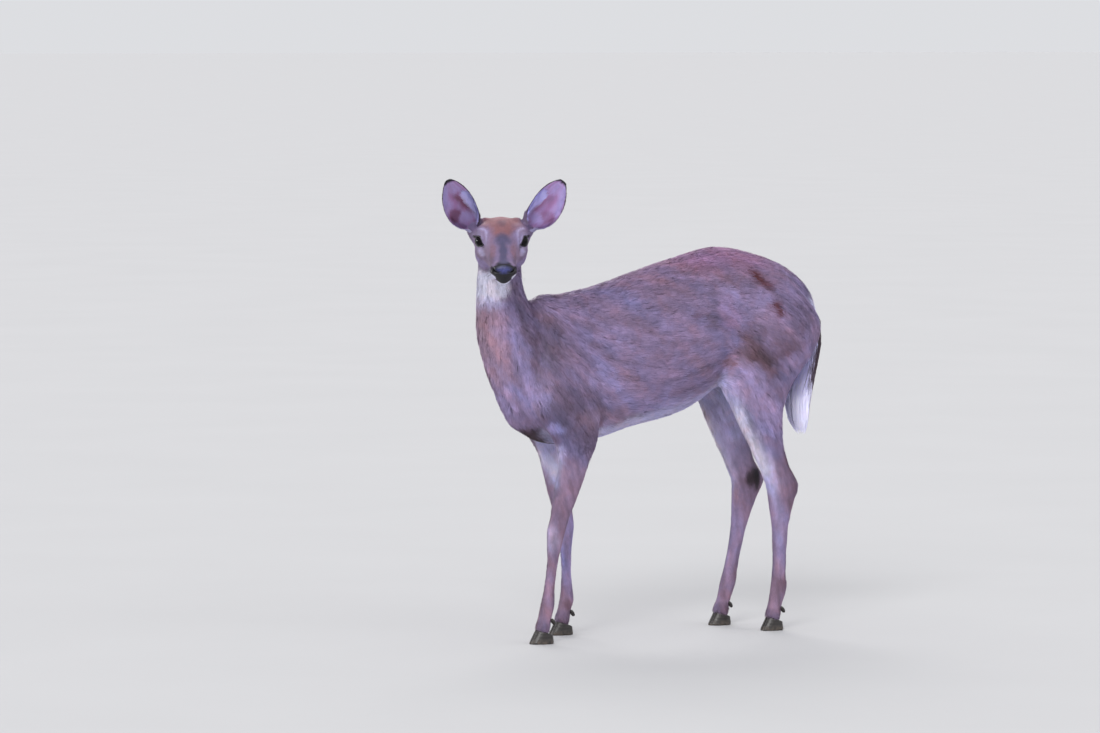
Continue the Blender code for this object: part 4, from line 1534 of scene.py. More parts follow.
        root, normal, lie = blended(self.points), unit(blended(self.normals)), blended(self.lie)
        length, rise, width, lock = map(blended, (self.length, self.rise, self.width, self.lock))
        density, free = blended(self.density), blended(self.free)
        is_seed = rng.random(count) < 1 / np.maximum(density * math.pi * lock**2 * 0.7, 1.0)
        is_seed[0] = True
        seeds = root[is_seed]
        own = nearest(tree_of(seeds), root)
        shade = rng.random(len(seeds))[own]
        spread = rng.normal(0, 0.10, len(seeds))[own] + rng.normal(0, 0.10, count)
        longer = (0.85 + 0.3 * rng.random(len(seeds)))[own] * (0.8 + 0.4 * rng.random(count))
        higher = (0.82 + 0.22 * rng.random(len(seeds)))[own] * (0.86 + 0.20 * rng.random(count))
        beside = np.cross(normal, lie)
        lie = along_surface(lie + beside * spread[:, None], normal)
        toward = seeds[own] - root
        toward -= lie * (toward * lie).sum(1, keepdims=True)
        spines = [root - normal * self.sink]
        for step in range(1, points):
            part = step / (points - 1)
            bend = 1 - (1 - part) ** 2
            spot = root + lie * (length * longer * part)[:, None] + toward * (self.pull * bend)
            near = nearest(self.tree, spot)
            up = self.normals[near]
            down = (up * ((spot - self.points[near]) * up).sum(1, keepdims=True)) * (1 - free)[:, None]
            up = unit(up * (1 - free)[:, None] + normal * free[:, None])
            spot = spot - down
            spines.append(spot + up * (rise * higher * (bend if points > 2 else 0.8))[:, None])
        roll = rng.normal(0, 0.28, count)[:, None]
        sides = unit(np.cross(lie, normal) * np.cos(roll) + normal * np.sin(roll))
        return Hair(
            spines=np.stack(spines, 1),
            sides=sides,
            widths=width * (0.7 + 0.6 * rng.random(count)),
            tints=blended(self.tint),
            locks=shade,
            strands=rng.random(count),
            spots=self.spots(root, way),
            faced=normal,
        )

    def spots(self, root: Array, way: str) -> Array:
        """Where each root lies on its region's unwrap.

        Args:
            root: the roots.
            way: how the region is unwrapped.

        Returns:
            Two numbers from 0 to 1 for each root.
        """
        if way in ("head", "level"):
            return unwrapped(HEAD.local(root) if way == "head" else root, 0)
        if way == "upright":
            return unwrapped(root, 2)
        found = np.empty((len(root), 2))
        for shift, leg in ((0.0, root[:, 1] < MIDDLE_Y), (0.5, root[:, 1] >= MIDDLE_Y)):
            found[leg] = unwrapped(root[leg], 2) * [1, 0.49] + [0, shift]
        return found


# --- tail
@dataclass
class TailCoat:
    """The long hair of the hanging tail, dark along its back and white beneath."""

    count: int = 9000
    tufts: int = 240
    points: int = 5
    seed: int = 21
    # height, X, half thickness and half width of the tail with its hair
    outline: Table = (
        (0.790, 0.4796, 0.020, 0.024), (0.745, 0.4966, 0.023, 0.034), (0.690, 0.4956, 0.024, 0.042),
        (0.640, 0.4826, 0.024, 0.048), (0.590, 0.4686, 0.024, 0.051), (0.540, 0.4616, 0.022, 0.048),
        (0.500, 0.4646, 0.018, 0.038), (0.478, 0.4696, 0.012, 0.026), (0.462, 0.4736, 0.006, 0.012),
    )

    def build(self) -> Object:
        """Makes the tail's hair as one piece.

        Returns:
            The piece.
        """
        rng = np.random.default_rng(self.seed)
        start = 0.575 + 0.225 * rng.random(self.count) ** 0.85
        turn = rng.uniform(-math.pi, math.pi, self.count)
        tuft = rng.integers(0, self.tufts, self.count)
        turn += 0.35 * (rng.uniform(-math.pi, math.pi, self.tufts)[tuft] - turn) * rng.random(self.count)
        length = (0.075 + 0.045 * rng.random(self.count)) * ease(start, 0.86, 0.76)
        length = np.minimum(length + 0.02, start - 0.464 - 0.035 * rng.random(self.count) ** 2)
        out = 0.45 + 0.55 * np.sqrt(rng.random(self.count))
        drift = rng.normal(0, 0.07, self.count) + rng.normal(0, 0.05, self.tufts)[tuft]
        spines = []
        for part in np.arange(self.points) / (self.points - 1):
            height = start - length * part
            share = 0.30 + (out - 0.30) * ease(np.full(self.count, part), -0.1, 0.75)
            spines.append(self.at(height, turn + drift * part * 3, share))
        spine = np.stack(spines, 1)
        outward = unit(spine[:, 2] - self.at(start - length / 2, turn, np.zeros(self.count)))
        side = unit(np.cross(unit(spine[:, -1] - spine[:, 0]), outward))
        roll = rng.normal(0, 0.5, self.count)[:, None]
        hair = Hair(
            spines=spine,
            sides=unit(side * np.cos(roll) + outward * np.sin(roll)),
            widths=0.0009 + 0.0009 * rng.random(self.count),
            tints=self.tints(start, turn, length),
            locks=rng.random(self.tufts)[tuft],
            strands=rng.random(self.count),
            spots=np.stack([(start - 0.57) / 0.24, turn / (2 * math.pi) + 0.5], 1).clip(0, 1),
            faced=outward,
        )
        tail = show("coat_tail", hair.mesh("coat_tail"))
        return place_piece(tail, CoatFinish("doe_tail_hair", 0.35), "coat")

    def at(self, height: Array, turn: Array, share: Array) -> Array:
        """Places in the tail by height, way round and share of the way out from its middle.

        Args:
            height: their height.
            turn: the way round.
            share: share of the way out.

        Returns:
            One place a row.
        """
        rows = np.array(self.outline)[::-1]
        x, thick, wide = (np.interp(height, rows[:, 0], rows[:, column]) for column in (1, 2, 3))
        return np.stack(
            [x + thick * np.cos(turn) * share, MIDDLE_Y + wide * np.sin(turn) * share, height], 1
        )

    def tints(self, start: Array, turn: Array, length: Array) -> Array:
        """Colours: dark behind, pale at the sides and white beneath, with pale and white laid lighter than
        the coat's own as painted light.

        Args:
            start: the roots' height.
            turn: the way round.
            length: the hairs' length.

        Returns:
            Linear colours, one a row.
        """
        upper = ease(start, 0.60, 0.72)
        behind = ease(np.cos(turn), 0.30 - 0.7 * upper, 0.75 - 0.7 * upper)
        # painted light: the tail's pale and white are multiplied lighter than the coat's own
        colour = np.tile(P.PALE.linear * 1.25, (len(start), 1))
        colour = blend(colour, P.WHITE.linear * 1.28, ease(start - length, 0.60, 0.51))
        colour = blend(colour, P.BARK.linear, behind * (0.35 + 0.6 * upper))
        return blend(colour, P.DEEP.linear, behind * ease(start, 0.64, 0.70) * 0.8)


# --- ears
@dataclass
class Ear:
    """One cupped ear: its shell, and the hair on its back, round its rim and inside it."""

    name: str
    sign: float  # 1 on the left of the head, -1 on the right
    tip: Point
    hollow_shade: float  # how dark the painted shade in the hollow is
    hollow_light: float  # how much lighter the inner face and its hair are painted, as painted light
    root: Point = (-0.050, 0.066, 0.026)
    wall: float = 0.0024
    rows: int = 96
    columns: int = 72
    # share of the height, half width, half angle in degrees, shift outward
    sections: Table = (
        (-0.16, 0.0150, 162, -0.0030), (-0.07, 0.0178, 157, -0.0012), (0.0, 0.0200, 150, 0.0),
        (0.09, 0.0260, 125, 0.0020), (0.22, 0.0330, 100, 0.0040),
        (0.38, 0.0370, 80, 0.0045), (0.54, 0.0365, 68, 0.0035), (0.70, 0.0315, 60, 0.0020),
        (0.84, 0.0225, 52, 0.0005), (0.935, 0.0135, 46, 0.0), (0.99, 0.0060, 40, 0.0),
    )

    def build(self) -> list[Object]:
        """Makes the shell and its hair.

        Returns:
            The shell and its hair.
        """
        skin, hair = EarFinish(f"doe_ear_skin_{self.name}"), CoatFinish(f"doe_ear_hair_{self.name}", 0.45)
        shell = place_piece(self.shell(), skin, "coat", f"ear_{self.name}")
        name = f"coat_ear_{self.name}"
        return [shell, place_piece(show(name, self.hair().mesh(name)), hair, "coat")]

    def frame(self) -> tuple[Array, Array, Array]:
        """The ear's rise, its mouth's direction and the way outward, in the folded head frame.

        Returns:
            The three directions.
        """
        rise = unit(np.array(self.tip) - self.root)
        face = np.array([1.0, 0, 0])
        mouth = unit(face - rise * (face @ rise))
        across = np.cross(rise, mouth)
        return rise, mouth, across * math.copysign(1, across[1])

    def at(self, share: Array, turn: Array, inset: Array) -> Array:
        """Places in the wall of the ear, in the room.

        Args:
            share: share of the height.
            turn: from -1 at the inner rim to 1 at the outer rim.
            inset: how far inside the outer face.

        Returns:
            One place a row.
        """
        rise, mouth, across = self.frame()
        rows = np.array(self.sections)
        half, angle, shift = (self.smooth(share, rows[:, 0], rows[:, column]) for column in (1, 2, 3))
        spread = np.radians(angle)
        outer = half / np.sin(np.minimum(spread, math.pi / 2))
        middle = (
            np.array(self.root) + np.outer(share, np.array(self.tip) - self.root)
            + across * shift[:, None] + mouth * (outer * (1 + np.cos(spread)) / 2)[:, None]
        )
        reach = (outer - inset)[:, None]
        angle = (turn * spread)[:, None]
        folded = middle - mouth * reach * np.cos(angle) + across * reach * np.sin(angle)
        return HEAD.world(folded * [1, self.sign, 1])

    @staticmethod
    def smooth(share: Array, stops: Array, values: Array) -> Array:
        """A smooth curve through stops, read at each share.

        Args:
            share: where to read it.
            stops: where its values are given.
            values: those values.

        Returns:
            One value for each share.
        """
        slopes = np.gradient(values, stops)
        cell = np.clip(np.searchsorted(stops, share) - 1, 0, len(stops) - 2)
        run = stops[cell + 1] - stops[cell]
        part = np.clip((share - stops[cell]) / run, 0, 1)
        after = cell + 1
        first = (1 + 2 * part) * (1 - part) ** 2 * values[cell] + part * (1 - part) ** 2 * run * slopes[cell]
        return first + part**2 * (3 - 2 * part) * values[after] + part**2 * (part - 1) * run * slopes[after]

    def inner_inset(self, share: Array, turn: Array) -> Array:
        """How far the inner face lies inside the outer one, with its low ridges and thin rim.

        Args:
            share: share of the height.
            turn: from -1 at the inner rim to 1 at the outer rim.

        Returns:
            One distance for each place.
        """
        ridges = 0.0007 * np.cos(turn * 9.0 + share * 1.5) * ease(np.abs(turn), 0.98, 0.6)
        ridges *= ease(share, 0.1, 0.3)
        inset = (self.wall + ridges) * (1 - 0.72 * ease(np.abs(turn), 0.72, 1.0))
        return inset * (1 - 0.55 * ease(share, 0.75, 0.99))

    def shell(self) -> Object:
        """Makes the thin cupped shell.

        Returns:
            The shell.
        """
        shares = np.linspace(self.sections[0][0], self.sections[-1][0], self.rows)
        turns = np.linspace(-1, 1, self.columns)
        share, turn = (grid.ravel() for grid in np.meshgrid(shares, turns, indexing="ij"))
        wave = 0.0006 * np.sin(share * 34 + turn * 2) * ease(np.abs(turn), 0.8, 1.0)
        outer = self.at(share, turn, -wave)
        inner = self.at(share, turn * 0.985, self.inner_inset(share, turn) - wave)
        bm = bmesh.new()
        front, back = ([bm.verts.new(place) for place in side.tolist()] for side in (outer, inner))
        wide = self.columns
        for row in range(self.rows - 1):
            for a in range(row * wide, row * wide + wide - 1):
                bm.faces.new((front[a], front[a + wide], front[a + wide + 1], front[a + 1]))
                bm.faces.new((back[a], back[a + 1], back[a + wide + 1], back[a + wide]))
            for a in (row * wide, row * wide + wide - 1):
                bm.faces.new((front[a], back[a], back[a + wide], front[a + wide]))
        for row in (0, self.rows - 1):
            for a in range(row * wide, row * wide + wide - 1):
                bm.faces.new((front[a], front[a + 1], back[a + 1], back[a]))
        bmesh.ops.recalc_face_normals(bm, faces=bm.faces)
        mesh = mesh_of(bm, f"ear_shell_{self.name}")
        tint = np.concatenate([self.tint(share, turn, inside) for inside in (False, True)])
        close = np.tile([0.55, 0.5, 0.5], (len(tint), 1))
        bare = np.concatenate([np.zeros(len(share)), np.ones(len(share))])
        add_marks(mesh, tint, close, bare)
        return show(f"ear_shell_{self.name}", mesh)

    def tint(self, share: Array, turn: Array, inside: bool) -> Array:
        """The colours of the ear's skin and hair, on one of its faces.

        Args:
            share: share of the height.
            turn: from -1 at the inner rim to 1 at the outer rim.
            inside: whether the inner face is meant.

        Returns:
            Linear colours, one a row.
        """
        spread = np.stack([share * 0.10, turn * 0.035, np.full(len(share), self.sign)], 1)
        noise = COAT.mottle.at(spread, 0.012)
        share = share + 0.03 * noise
        turn = turn + 0.10 * noise

        def oval(middle: float, across: float, high: float, wide: float) -> Array:
            """A soft oval by its place up and across the ear and its size."""
            return ease(np.hypot((share - middle) / high, (turn - across) / wide), 1.35, 0.75)

        if not inside:
            soft = 0.09
            root = ease(share, -0.2 - soft, -0.2 + soft) * ease(share, 0.25 + soft, 0.25 - soft)
            root = root * ease(turn, 0.35 - 2 * soft, 0.35 + soft) * ease(turn, 1.1 + 2 * soft, 1.1 - soft)
            colour = np.tile(P.GREY_BROWN.linear, (len(share), 1))
            layers = (
                # painted shade low on the ear's back by the inner rim, as strong as the hollow's
                (P.DEEP, self.hollow_shade * 0.9 * ease(turn, -0.45, -0.70) * oval(0.20, -0.9, 0.24, 0.6)),
                (P.BARK, ease(share, 0.30, 0.80) * 0.6), (P.PALE, root * 0.7),
                (P.DEEP, ease(np.abs(turn), 0.86, 0.97) * ease(share, 0.55, 0.80)),
                (P.BLACK, ease(share, 0.84, 0.95)),
            )
        else:
            streaks = 0.5 + 0.5 * np.sin(turn * 15 + share * 3 + noise * 2)
            band = np.exp(-(((turn + 0.04 + 1.0 * (0.55 - share)) / 0.21) ** 2))
            band *= ease(share, 0.02, 0.16) * ease(share, 0.70, 0.54)
            colour = np.tile(P.EAR_SKIN.linear, (len(share), 1))
            layers = (
                (P.LILAC, 0.40 * streaks), (P.LILAC, 0.80 * oval(0.76, 0.74, 0.20, 0.26)),
                (P.LILAC, 0.60 * oval(0.52, 0.74, 0.12, 0.26)),
                (P.LILAC, 0.50 * oval(0.80, -0.05, 0.14, 0.5)),
                (P.LILAC, 0.60 * oval(0.10, 0.05, 0.10, 0.4)),
                # painted shade deep in the hollow
                (P.EAR_DEPTH, self.hollow_shade * band),
                (P.EAR_DEPTH, 0.8 * self.hollow_shade * oval(0.27, 0.55, 0.12, 0.40)),
                (P.EAR_LOBE, 0.9 * ease(turn, -0.22, -0.5) * ease(share, 0.40, 0.22)),
                (P.EAR_LOBE, 0.95 * oval(0.40, -0.74, 0.25, 0.42)),
                (P.BARK, 0.7 * ease(np.abs(turn), 0.95, 1.0) * ease(share, 0.60, 0.80)),
                (P.BLACK, ease(share, 0.90, 0.96)),
            )
        for pigment, strength in layers:
            colour = blend(colour, pigment.linear, strength)
        # painted light: the inner face and its hair made lighter by the ear's own factor
        return colour * (self.hollow_light if inside else 1.0)

    def hair(self) -> Hair:
        """Grows the ear's hair.

        Returns:
            The hair of all lots.
        """
        rng = np.random.default_rng(31 if self.sign > 0 else 32)
        lots = (
            # number, share, turn, inside, length, how it leans across, stands off, and its width
            (5600, (-0.02, 0.60), (-0.97, -0.32), True, 0.013, 0.08, 0.26, 0.0009),
            (2200, (0.10, 0.86), (-0.30, 0.95), True, 0.010, 0.10, 0.08, 0.0005),
            (1400, (-0.04, 0.26), (-0.60, 0.90), True, 0.014, 0.00, 0.25, 0.0008),
            (2600, (-0.12, 0.10), (-1.0, 1.0), False, 0.013, 0.00, 0.10, 0.0009),
            (1300, (0.08, 0.97), (0.93, 1.0), False, 0.0055, 0.25, 0.10, 0.0006),
            (1300, (0.20, 0.97), (-1.0, -0.93), False, 0.0055, -0.25, 0.10, 0.0006),
            (9000, (0.00, 0.96), (-1.0, 1.0), False, 0.0070, 0.0, 0.14, 0.0008),
        )
        grown = [self.lot(rng, *lot) for lot in lots]
        return Hair(*(np.concatenate([getattr(one, part.name) for one in grown]) for part in fields(Hair)))

    def lot(
        self, rng: Chance, count: int, shares: tuple, turns: tuple, inside: bool,
        length: float, lean: float, stand: float, width: float,
    ) -> Hair:
        """Grows one lot of hair on one face of the ear.

        Args:
            rng: source of chance.
            count: how many hairs.
            shares: lowest and highest root.
            turns: first and last root across.
            inside: whether they grow on the inner face.
            length: how long they are.
            lean: how far they lean outward.
            stand: how far they stand off.
            width: how wide they are.

        Returns:
            The hairs.
        """
        share = rng.uniform(*shares, count)
        turn = rng.uniform(*turns, count)
        inset = self.inner_inset(share, turn) if inside else np.zeros(count)
        root = self.at(share, turn, inset)
        step = 0.01  # over which directions on the ear are read
        rise = unit(self.at(share + step, turn, inset) - root)
        across = unit(self.at(share, turn + step, inset) - root)
        off = unit(self.at(share, turn, inset + (step if inside else -step)) - root)
        tufts = 60
        tuft = (share * 17 + turn * 5).astype(int) % tufts
        swing = rng.normal(0, 0.22, count) + rng.normal(0, 0.18, tufts)[tuft]
        way = unit(rise + across * (lean + swing)[:, None] + off * stand)
        reach = (length * rng.uniform(0.7, 1.25, count) * (1 - 0.45 * ease(share, 0.7, 0.95)))[:, None]
        curl = across * (0.25 * lean) - off * (0.3 * stand)
        spines = np.stack(
            [root - off * 0.0004, root + way * reach * 0.5, root + unit(way + curl) * reach], 1
        )
        return Hair(
            spines=spines,
            sides=unit(across + off * rng.normal(0, 0.4, count)[:, None]),
            widths=width * rng.uniform(0.7, 1.3, count),
            tints=self.tint(share, turn, inside),
            locks=rng.random(tufts)[tuft],
            strands=rng.random(count),
            spots=np.stack([share, (turn + 1) / 4 + (0.5 if inside else 0)], 1).clip(0, 1),
            faced=off,
        )


# --- eyes
@dataclass
class Eye:
    """One eyeball with its iris, long level pupil and domed front."""

    name: str
    sign: float
    rings: int = 64
    sides: int = 96
    dome: float = 0.0005
    iris: float = 0.80  # as an angle from the outlook
    # linear colours
    brown: tuple[float, ...] = (0.0030, 0.0024, 0.0038)
    lighter: tuple[float, ...] = (0.0062, 0.0044, 0.0062)
    rim: tuple[float, ...] = (0.003, 0.0026, 0.0036)
    pupil: tuple[float, ...] = (0.0010, 0.0010, 0.0018)

    def build(self) -> Object:
        """Makes the eyeball.

        Returns:
            The eyeball.
        """
        look, corner, up = OPENING.axes()
        bm = bmesh.new()
        rows, places = [], []
        for ring in range(1, self.rings):
            angle = math.pi * ring / self.rings
            row = []
            for side in range(self.sides):
                turn = 2 * math.pi * side / self.sides
                aside = corner * math.cos(turn) + up * math.sin(turn)
                way = look * math.cos(angle) + aside * math.sin(angle)
                places.append((angle * math.cos(turn), angle * math.sin(turn)))
                row.append(bm.verts.new(self.place(way, angle)))
            rows.append(row)
        for near, far in zip(rows, rows[1:]):
            for side in range(self.sides):
                after = (side + 1) % self.sides
                bm.faces.new((near[side], near[after], far[after], far[side]))
        for angle, row in ((0.0, rows[0]), (math.pi, rows[-1])):
            pole = bm.verts.new(self.place(look * math.cos(angle), angle))
            places.append((angle, 0.0))
            for side in range(self.sides):
                bm.faces.new((row[side], row[(side + 1) % self.sides], pole))
        bmesh.ops.recalc_face_normals(bm, faces=bm.faces)
        mesh = mesh_of(bm, f"eyeball_{self.name}")
        spots = np.array(places)
        add_marks(mesh, self.tint(spots), np.column_stack([spots, np.full(len(spots), 0.5)]))
        eyeball = show(f"eyeball_{self.name}", mesh)
        return place_piece(eyeball, EyeFinish(f"doe_eye_{self.name}"), "eye", f"eye_{self.name}")

    def place(self, way: Array, angle: float) -> Vector:
        """A point of the ball, by its direction and its angle from the outlook.

        Args:
            way: its direction.
            angle: its angle from the outlook.

        Returns:
            The point in the room.
        """
        domed = OPENING.radius + self.dome * math.exp(-((angle / 0.6) ** 2))
        folded = np.array(OPENING.middle) + way * domed
        return Vector(HEAD.world(folded * [1, self.sign, 1]))

    def tint(self, spots: Array) -> Array:
        """The colours of pupil, iris and rim.

        Args:
            spots: level and upright angle from the outlook, one place a row.

        Returns:
            Linear colours, one a row.
        """
        far = np.hypot(*spots.T)
        pupil = ease(np.hypot(spots[:, 0] / 0.50, spots[:, 1] / 0.26), 1.10, 0.92)
        colour = np.tile(np.array(self.brown), (len(spots), 1))
        colour = blend(colour, np.array(self.lighter), ease(far, 0.3, 0.62) * ease(far, 0.85, 0.72))
        colour = blend(colour, np.array(self.rim), ease(far, self.iris - 0.05, self.iris + 0.06))
        return blend(colour, np.array(self.pupil), pupil)


@dataclass
class FineHairs:
    """Lashes and whiskers."""

    lashes: int = 46
    whiskers: int = 30
    seed: int = 41
    lash_width: float = 0.00034
    whisker_width: float = 0.00026

    def build(self) -> list[Object]:
        """Makes both eyes' lashes and the whiskers of muzzle and chin.

        Returns:
            The two pieces.
        """
        rng = np.random.default_rng(self.seed)
        grown = {"lashes": self.lash_hair(rng), "whiskers": self.whisker_hair(rng)}
        finish = CoatFinish("doe_lash", 0.3)
        return [place_piece(show(name, hair.mesh(name)), finish, "coat") for name, hair in grown.items()]

    def hair(self, folded: list[Array], width: float, rng: Chance) -> Hair:
        """The same hairs on both sides of the head, from the points along them in the folded frame.

        Args:
            folded: the points along each hair, from root to tip.
            width: how wide the hairs are.
            rng: source of chance.

        Returns:
            The hairs.
        """
        spine = np.stack(folded, 1)
        both = np.concatenate([HEAD.world(spine), HEAD.world(spine * [1, -1, 1])])
        count = len(both)
        run = unit(both[:, -1] - both[:, 0])
        side = unit(np.cross(run, rng.normal(size=(count, 3))))
        return Hair(
            both, side, np.full(count, width), np.tile(P.BLACK.linear * 0.8, (count, 1)),
            rng.random(count), rng.random(count), rng.random((count, 2)), unit(np.cross(run, side)),
        )

    def lash_hair(self, rng: Chance) -> Hair:
        """Lashes along the upper lid.

        Args:
            rng: source of chance.

        Returns:
            The hairs.
        """
        look, corner, up = OPENING.axes()
        turn = np.radians(rng.uniform(14, 172, self.lashes))
        level = np.sign(np.cos(turn)) * np.abs(np.cos(turn)) ** 1.14 * OPENING.half_length * 1.10
        high = np.sin(turn) ** 1.14 * OPENING.upper * 1.10
        way = unit(look + np.outer(np.tan(level), corner) + np.outer(np.tan(high), up))
        root = np.array(OPENING.middle) + way * (OPENING.radius + 0.0006)
        out = way - look * (way @ look)[:, None] * 0.3 - up * 0.12
        out = unit(out + rng.normal(0, 0.12, (self.lashes, 3)))
        reach = rng.uniform(0.0045, 0.0085, self.lashes)[:, None]
        spine = [root, root + out * reach * 0.5, root + out * reach - up * reach * 0.22]
        return self.hair(spine, self.lash_width, rng)

    def whisker_hair(self, rng: Chance) -> Hair:
        """Whiskers above the mouth and under the chin.

        Args:
            rng: source of chance.

        Returns:
            The hairs.
        """
        along = rng.uniform(0.100, 0.138, self.whiskers)
        low = rng.random(self.whiskers) < 0.4
        chin = rng.uniform(-0.060, -0.054, self.whiskers)
        up = np.where(low, chin, rng.uniform(-0.036, -0.020, self.whiskers))
        out = np.where(low, rng.uniform(0.004, 0.014, self.whiskers), 0.029)
        root = np.stack([along, out, up], 1)
        way = [np.full(self.whiskers, 0.25), np.where(low, 0.25, 0.95), np.where(low, -0.9, -0.2)]
        way = unit(np.stack(way, 1) + rng.normal(0, 0.22, (self.whiskers, 3)))
        reach = rng.uniform(0.012, 0.028, self.whiskers)[:, None]
        sag = np.array([-0.25, 0, -0.35])
        spine = [root, root + way * reach * 0.5, root + way * reach + sag * reach * 0.5]
        return self.hair(spine, self.whisker_width, rng)


# --- finishes
Socket = bpy.types.NodeSocket


class Wiring:
    """The nodes of one material or group, made and joined."""

    def __init__(self, tree: bpy.types.NodeTree) -> None:
        """Starts with an empty tree."""
        self.tree = tree
        tree.nodes.clear()

    def feed(self, socket: Socket, value: object) -> None:
        """Joins a socket to another, or sets its own value.

        Args:
            socket: the socket.
            value: another socket, a number, or a colour with or without its fourth number.
        """
        if isinstance(value, bpy.types.NodeSocket):
            self.tree.links.new(value, socket)
        elif socket.type == "RGBA" and len(value) == 3:
            socket.default_value = (*value, 1.0)
        else:
            socket.default_value = value

    def node(self, kind: str, feeds: dict[str | int, object], **settings: object) -> bpy.types.Node:
        """Adds a node.

        Args:
            kind: Blender's name of it, without the first words.
            feeds: what goes into its sockets.
            settings: its own settings.

        Returns:
            The node.
        """
        made = self.tree.nodes.new(f"ShaderNode{kind}")
        for name, value in settings.items():
            setattr(made, name, value)
        for name, value in feeds.items():
            self.feed(made.inputs[name], value)
        return made

    def math(self, operation: str, *values: object) -> Socket:
        """One sum of numbers."""
        return self.node("Math", dict(enumerate(values)), operation=operation).outputs[0]

    def plus(self, first: object, second: object) -> Socket:
        """Two numbers added."""
        return self.math("ADD", first, second)

    def times(self, first: object, second: object) -> Socket:
        """Two numbers multiplied."""
        return self.math("MULTIPLY", first, second)

    def swing(self, value: object, strength: float) -> Socket:
        """A number from 0 to 1 as one about 0."""
        return self.times(self.math("SUBTRACT", value, 0.5), strength)

    def mix(self, share: object, first: object, second: object, blend_type: str = "MIX") -> Socket:
        """One mix of two colours."""
        feeds = {0: share, 6: first, 7: second}
        return self.node("Mix", feeds, data_type="RGBA", blend_type=blend_type).outputs[2]

    def tinted(self, share: object, first: object, second: object) -> Socket:
        """A colour multiplied by another, by a share."""
        return self.mix(share, first, second, "MULTIPLY")

    def between(self, value: object, low: float, high: float, first: float, last: float) -> Socket:
        """A smooth change from first to last as a value goes from low to high."""
        feeds = {"Value": value, "From Min": low, "From Max": high, "To Min": first, "To Max": last}
        return self.node("MapRange", feeds, interpolation_type="SMOOTHSTEP").outputs[0]

    def noise(self, vector: object, scale: object, detail: float = 3.0) -> Socket:
        """Soft noise between 0 and 1."""
        return self.node("TexNoise", {"Vector": vector, "Scale": scale, "Detail": detail}).outputs[0]

    def place(self) -> Socket:
        """The place on the object, in metres."""
        return self.node("TexCoord", {}).outputs["Object"]

    def mark(self, name: str, kind: str) -> Socket:
        """One of the mesh's own marks, as a Color, Vector or Fac."""
        return self.node("Attribute", {}, attribute_name=name).outputs[kind]


class Effect:
    """A shader node group that more than one finish uses, made once."""

    name = ""
    takes: dict[str, tuple[str, object]] = {}
    gives: dict[str, str] = {}

    @classmethod
    def tree(cls) -> bpy.types.NodeTree:
        """The group, made on first use.

        Returns:
            Its tree.
        """
        found = bpy.data.node_groups.get(cls.name)
        if found:
            return found
        made = bpy.data.node_groups.new(cls.name, "ShaderNodeTree")
        wiring = Wiring(made)
        for name, (kind, value) in cls.takes.items():
            socket = made.interface.new_socket(name=name, in_out="INPUT", socket_type=f"NodeSocket{kind}")
            socket.default_value = value
        for name, kind in cls.gives.items():
            made.interface.new_socket(name=name, in_out="OUTPUT", socket_type=f"NodeSocket{kind}")
        inside = made.nodes.new("NodeGroupInput")
        outside = made.nodes.new("NodeGroupOutput")
        for name, socket in cls.wire(wiring, inside.outputs).items():
            wiring.feed(outside.inputs[name], socket)
        return made

    @classmethod
    def wire(cls, wiring: Wiring, given: bpy.types.NodeOutputs) -> dict[str, Socket]:
        """Joins what goes in to what comes out."""
        raise NotImplementedError

    @classmethod
    def use(cls, wiring: Wiring, **feeds: object) -> bpy.types.NodeOutputs:
        """Places the group in a material with its own values.

        Args:
            wiring: the material's nodes.
            feeds: what goes into the group's sockets.

        Returns:
            What comes out of it.
        """
        made = wiring.tree.nodes.new("ShaderNodeGroup")
        made.node_tree = cls.tree()
        for name, value in feeds.items():
            wiring.feed(made.inputs[name], value)
        return made.outputs


class HairTone(Effect):
    """Shades a coat's colour from root to tip, darker at the root as painted shade deep in the coat, and from
    lock to lock and from hair to hair.
    """

    name = "hair_tone"
    takes = {
        "Tint": ("Color", (0.2, 0.15, 0.15, 1.0)),
        "Growth": ("Vector", (0.5, 0.5, 0.5)),
        "Contrast": ("Float", 1.0),
    }
    gives = {"Color": "Color", "Roughness": "Float"}
    WARM = (1.16, 0.96, 0.86)

    @classmethod
    def wire(cls, wiring: Wiring, given: bpy.types.NodeOutputs) -> dict[str, Socket]:
        """Joins what goes in to what comes out.

        Args:
            wiring: the group's nodes.
            given: what goes in.

        Returns:
            The sockets to put out, by name.
        """
        along, lock, strand = wiring.node("SeparateXYZ", {0: given["Growth"]}).outputs
        place = wiring.place()
        # painted shade: darker towards each hair's root, deep in the coat
        root = wiring.between(along, 0.0, 0.55, -0.17, 0.01)
        tip = wiring.between(along, 0.6, 1.0, 0.0, 0.07)
        own = wiring.plus(wiring.swing(lock, 0.20), wiring.swing(strand, 0.28))
        mottle = wiring.swing(wiring.noise(place, 16.0, 4.0), 0.35)
        total = wiring.times(wiring.plus(wiring.plus(wiring.plus(root, tip), own), mottle), given["Contrast"])
        feeds = {0: given["Tint"], "Scale": wiring.plus(total, 1.0)}
        shaded = wiring.node("VectorMath", feeds, operation="SCALE").outputs[0]
        spots = wiring.between(wiring.noise(place, 42.0, 2.0), 0.46, 0.66, 0.0, 0.35)
        warm = wiring.tinted(1.0, shaded, cls.WARM)
        return {
            "Color": wiring.mix(wiring.times(spots, given["Contrast"]), shaded, warm),
            "Roughness": wiring.between(strand, 0.0, 1.0, 0.52, 0.74),
        }


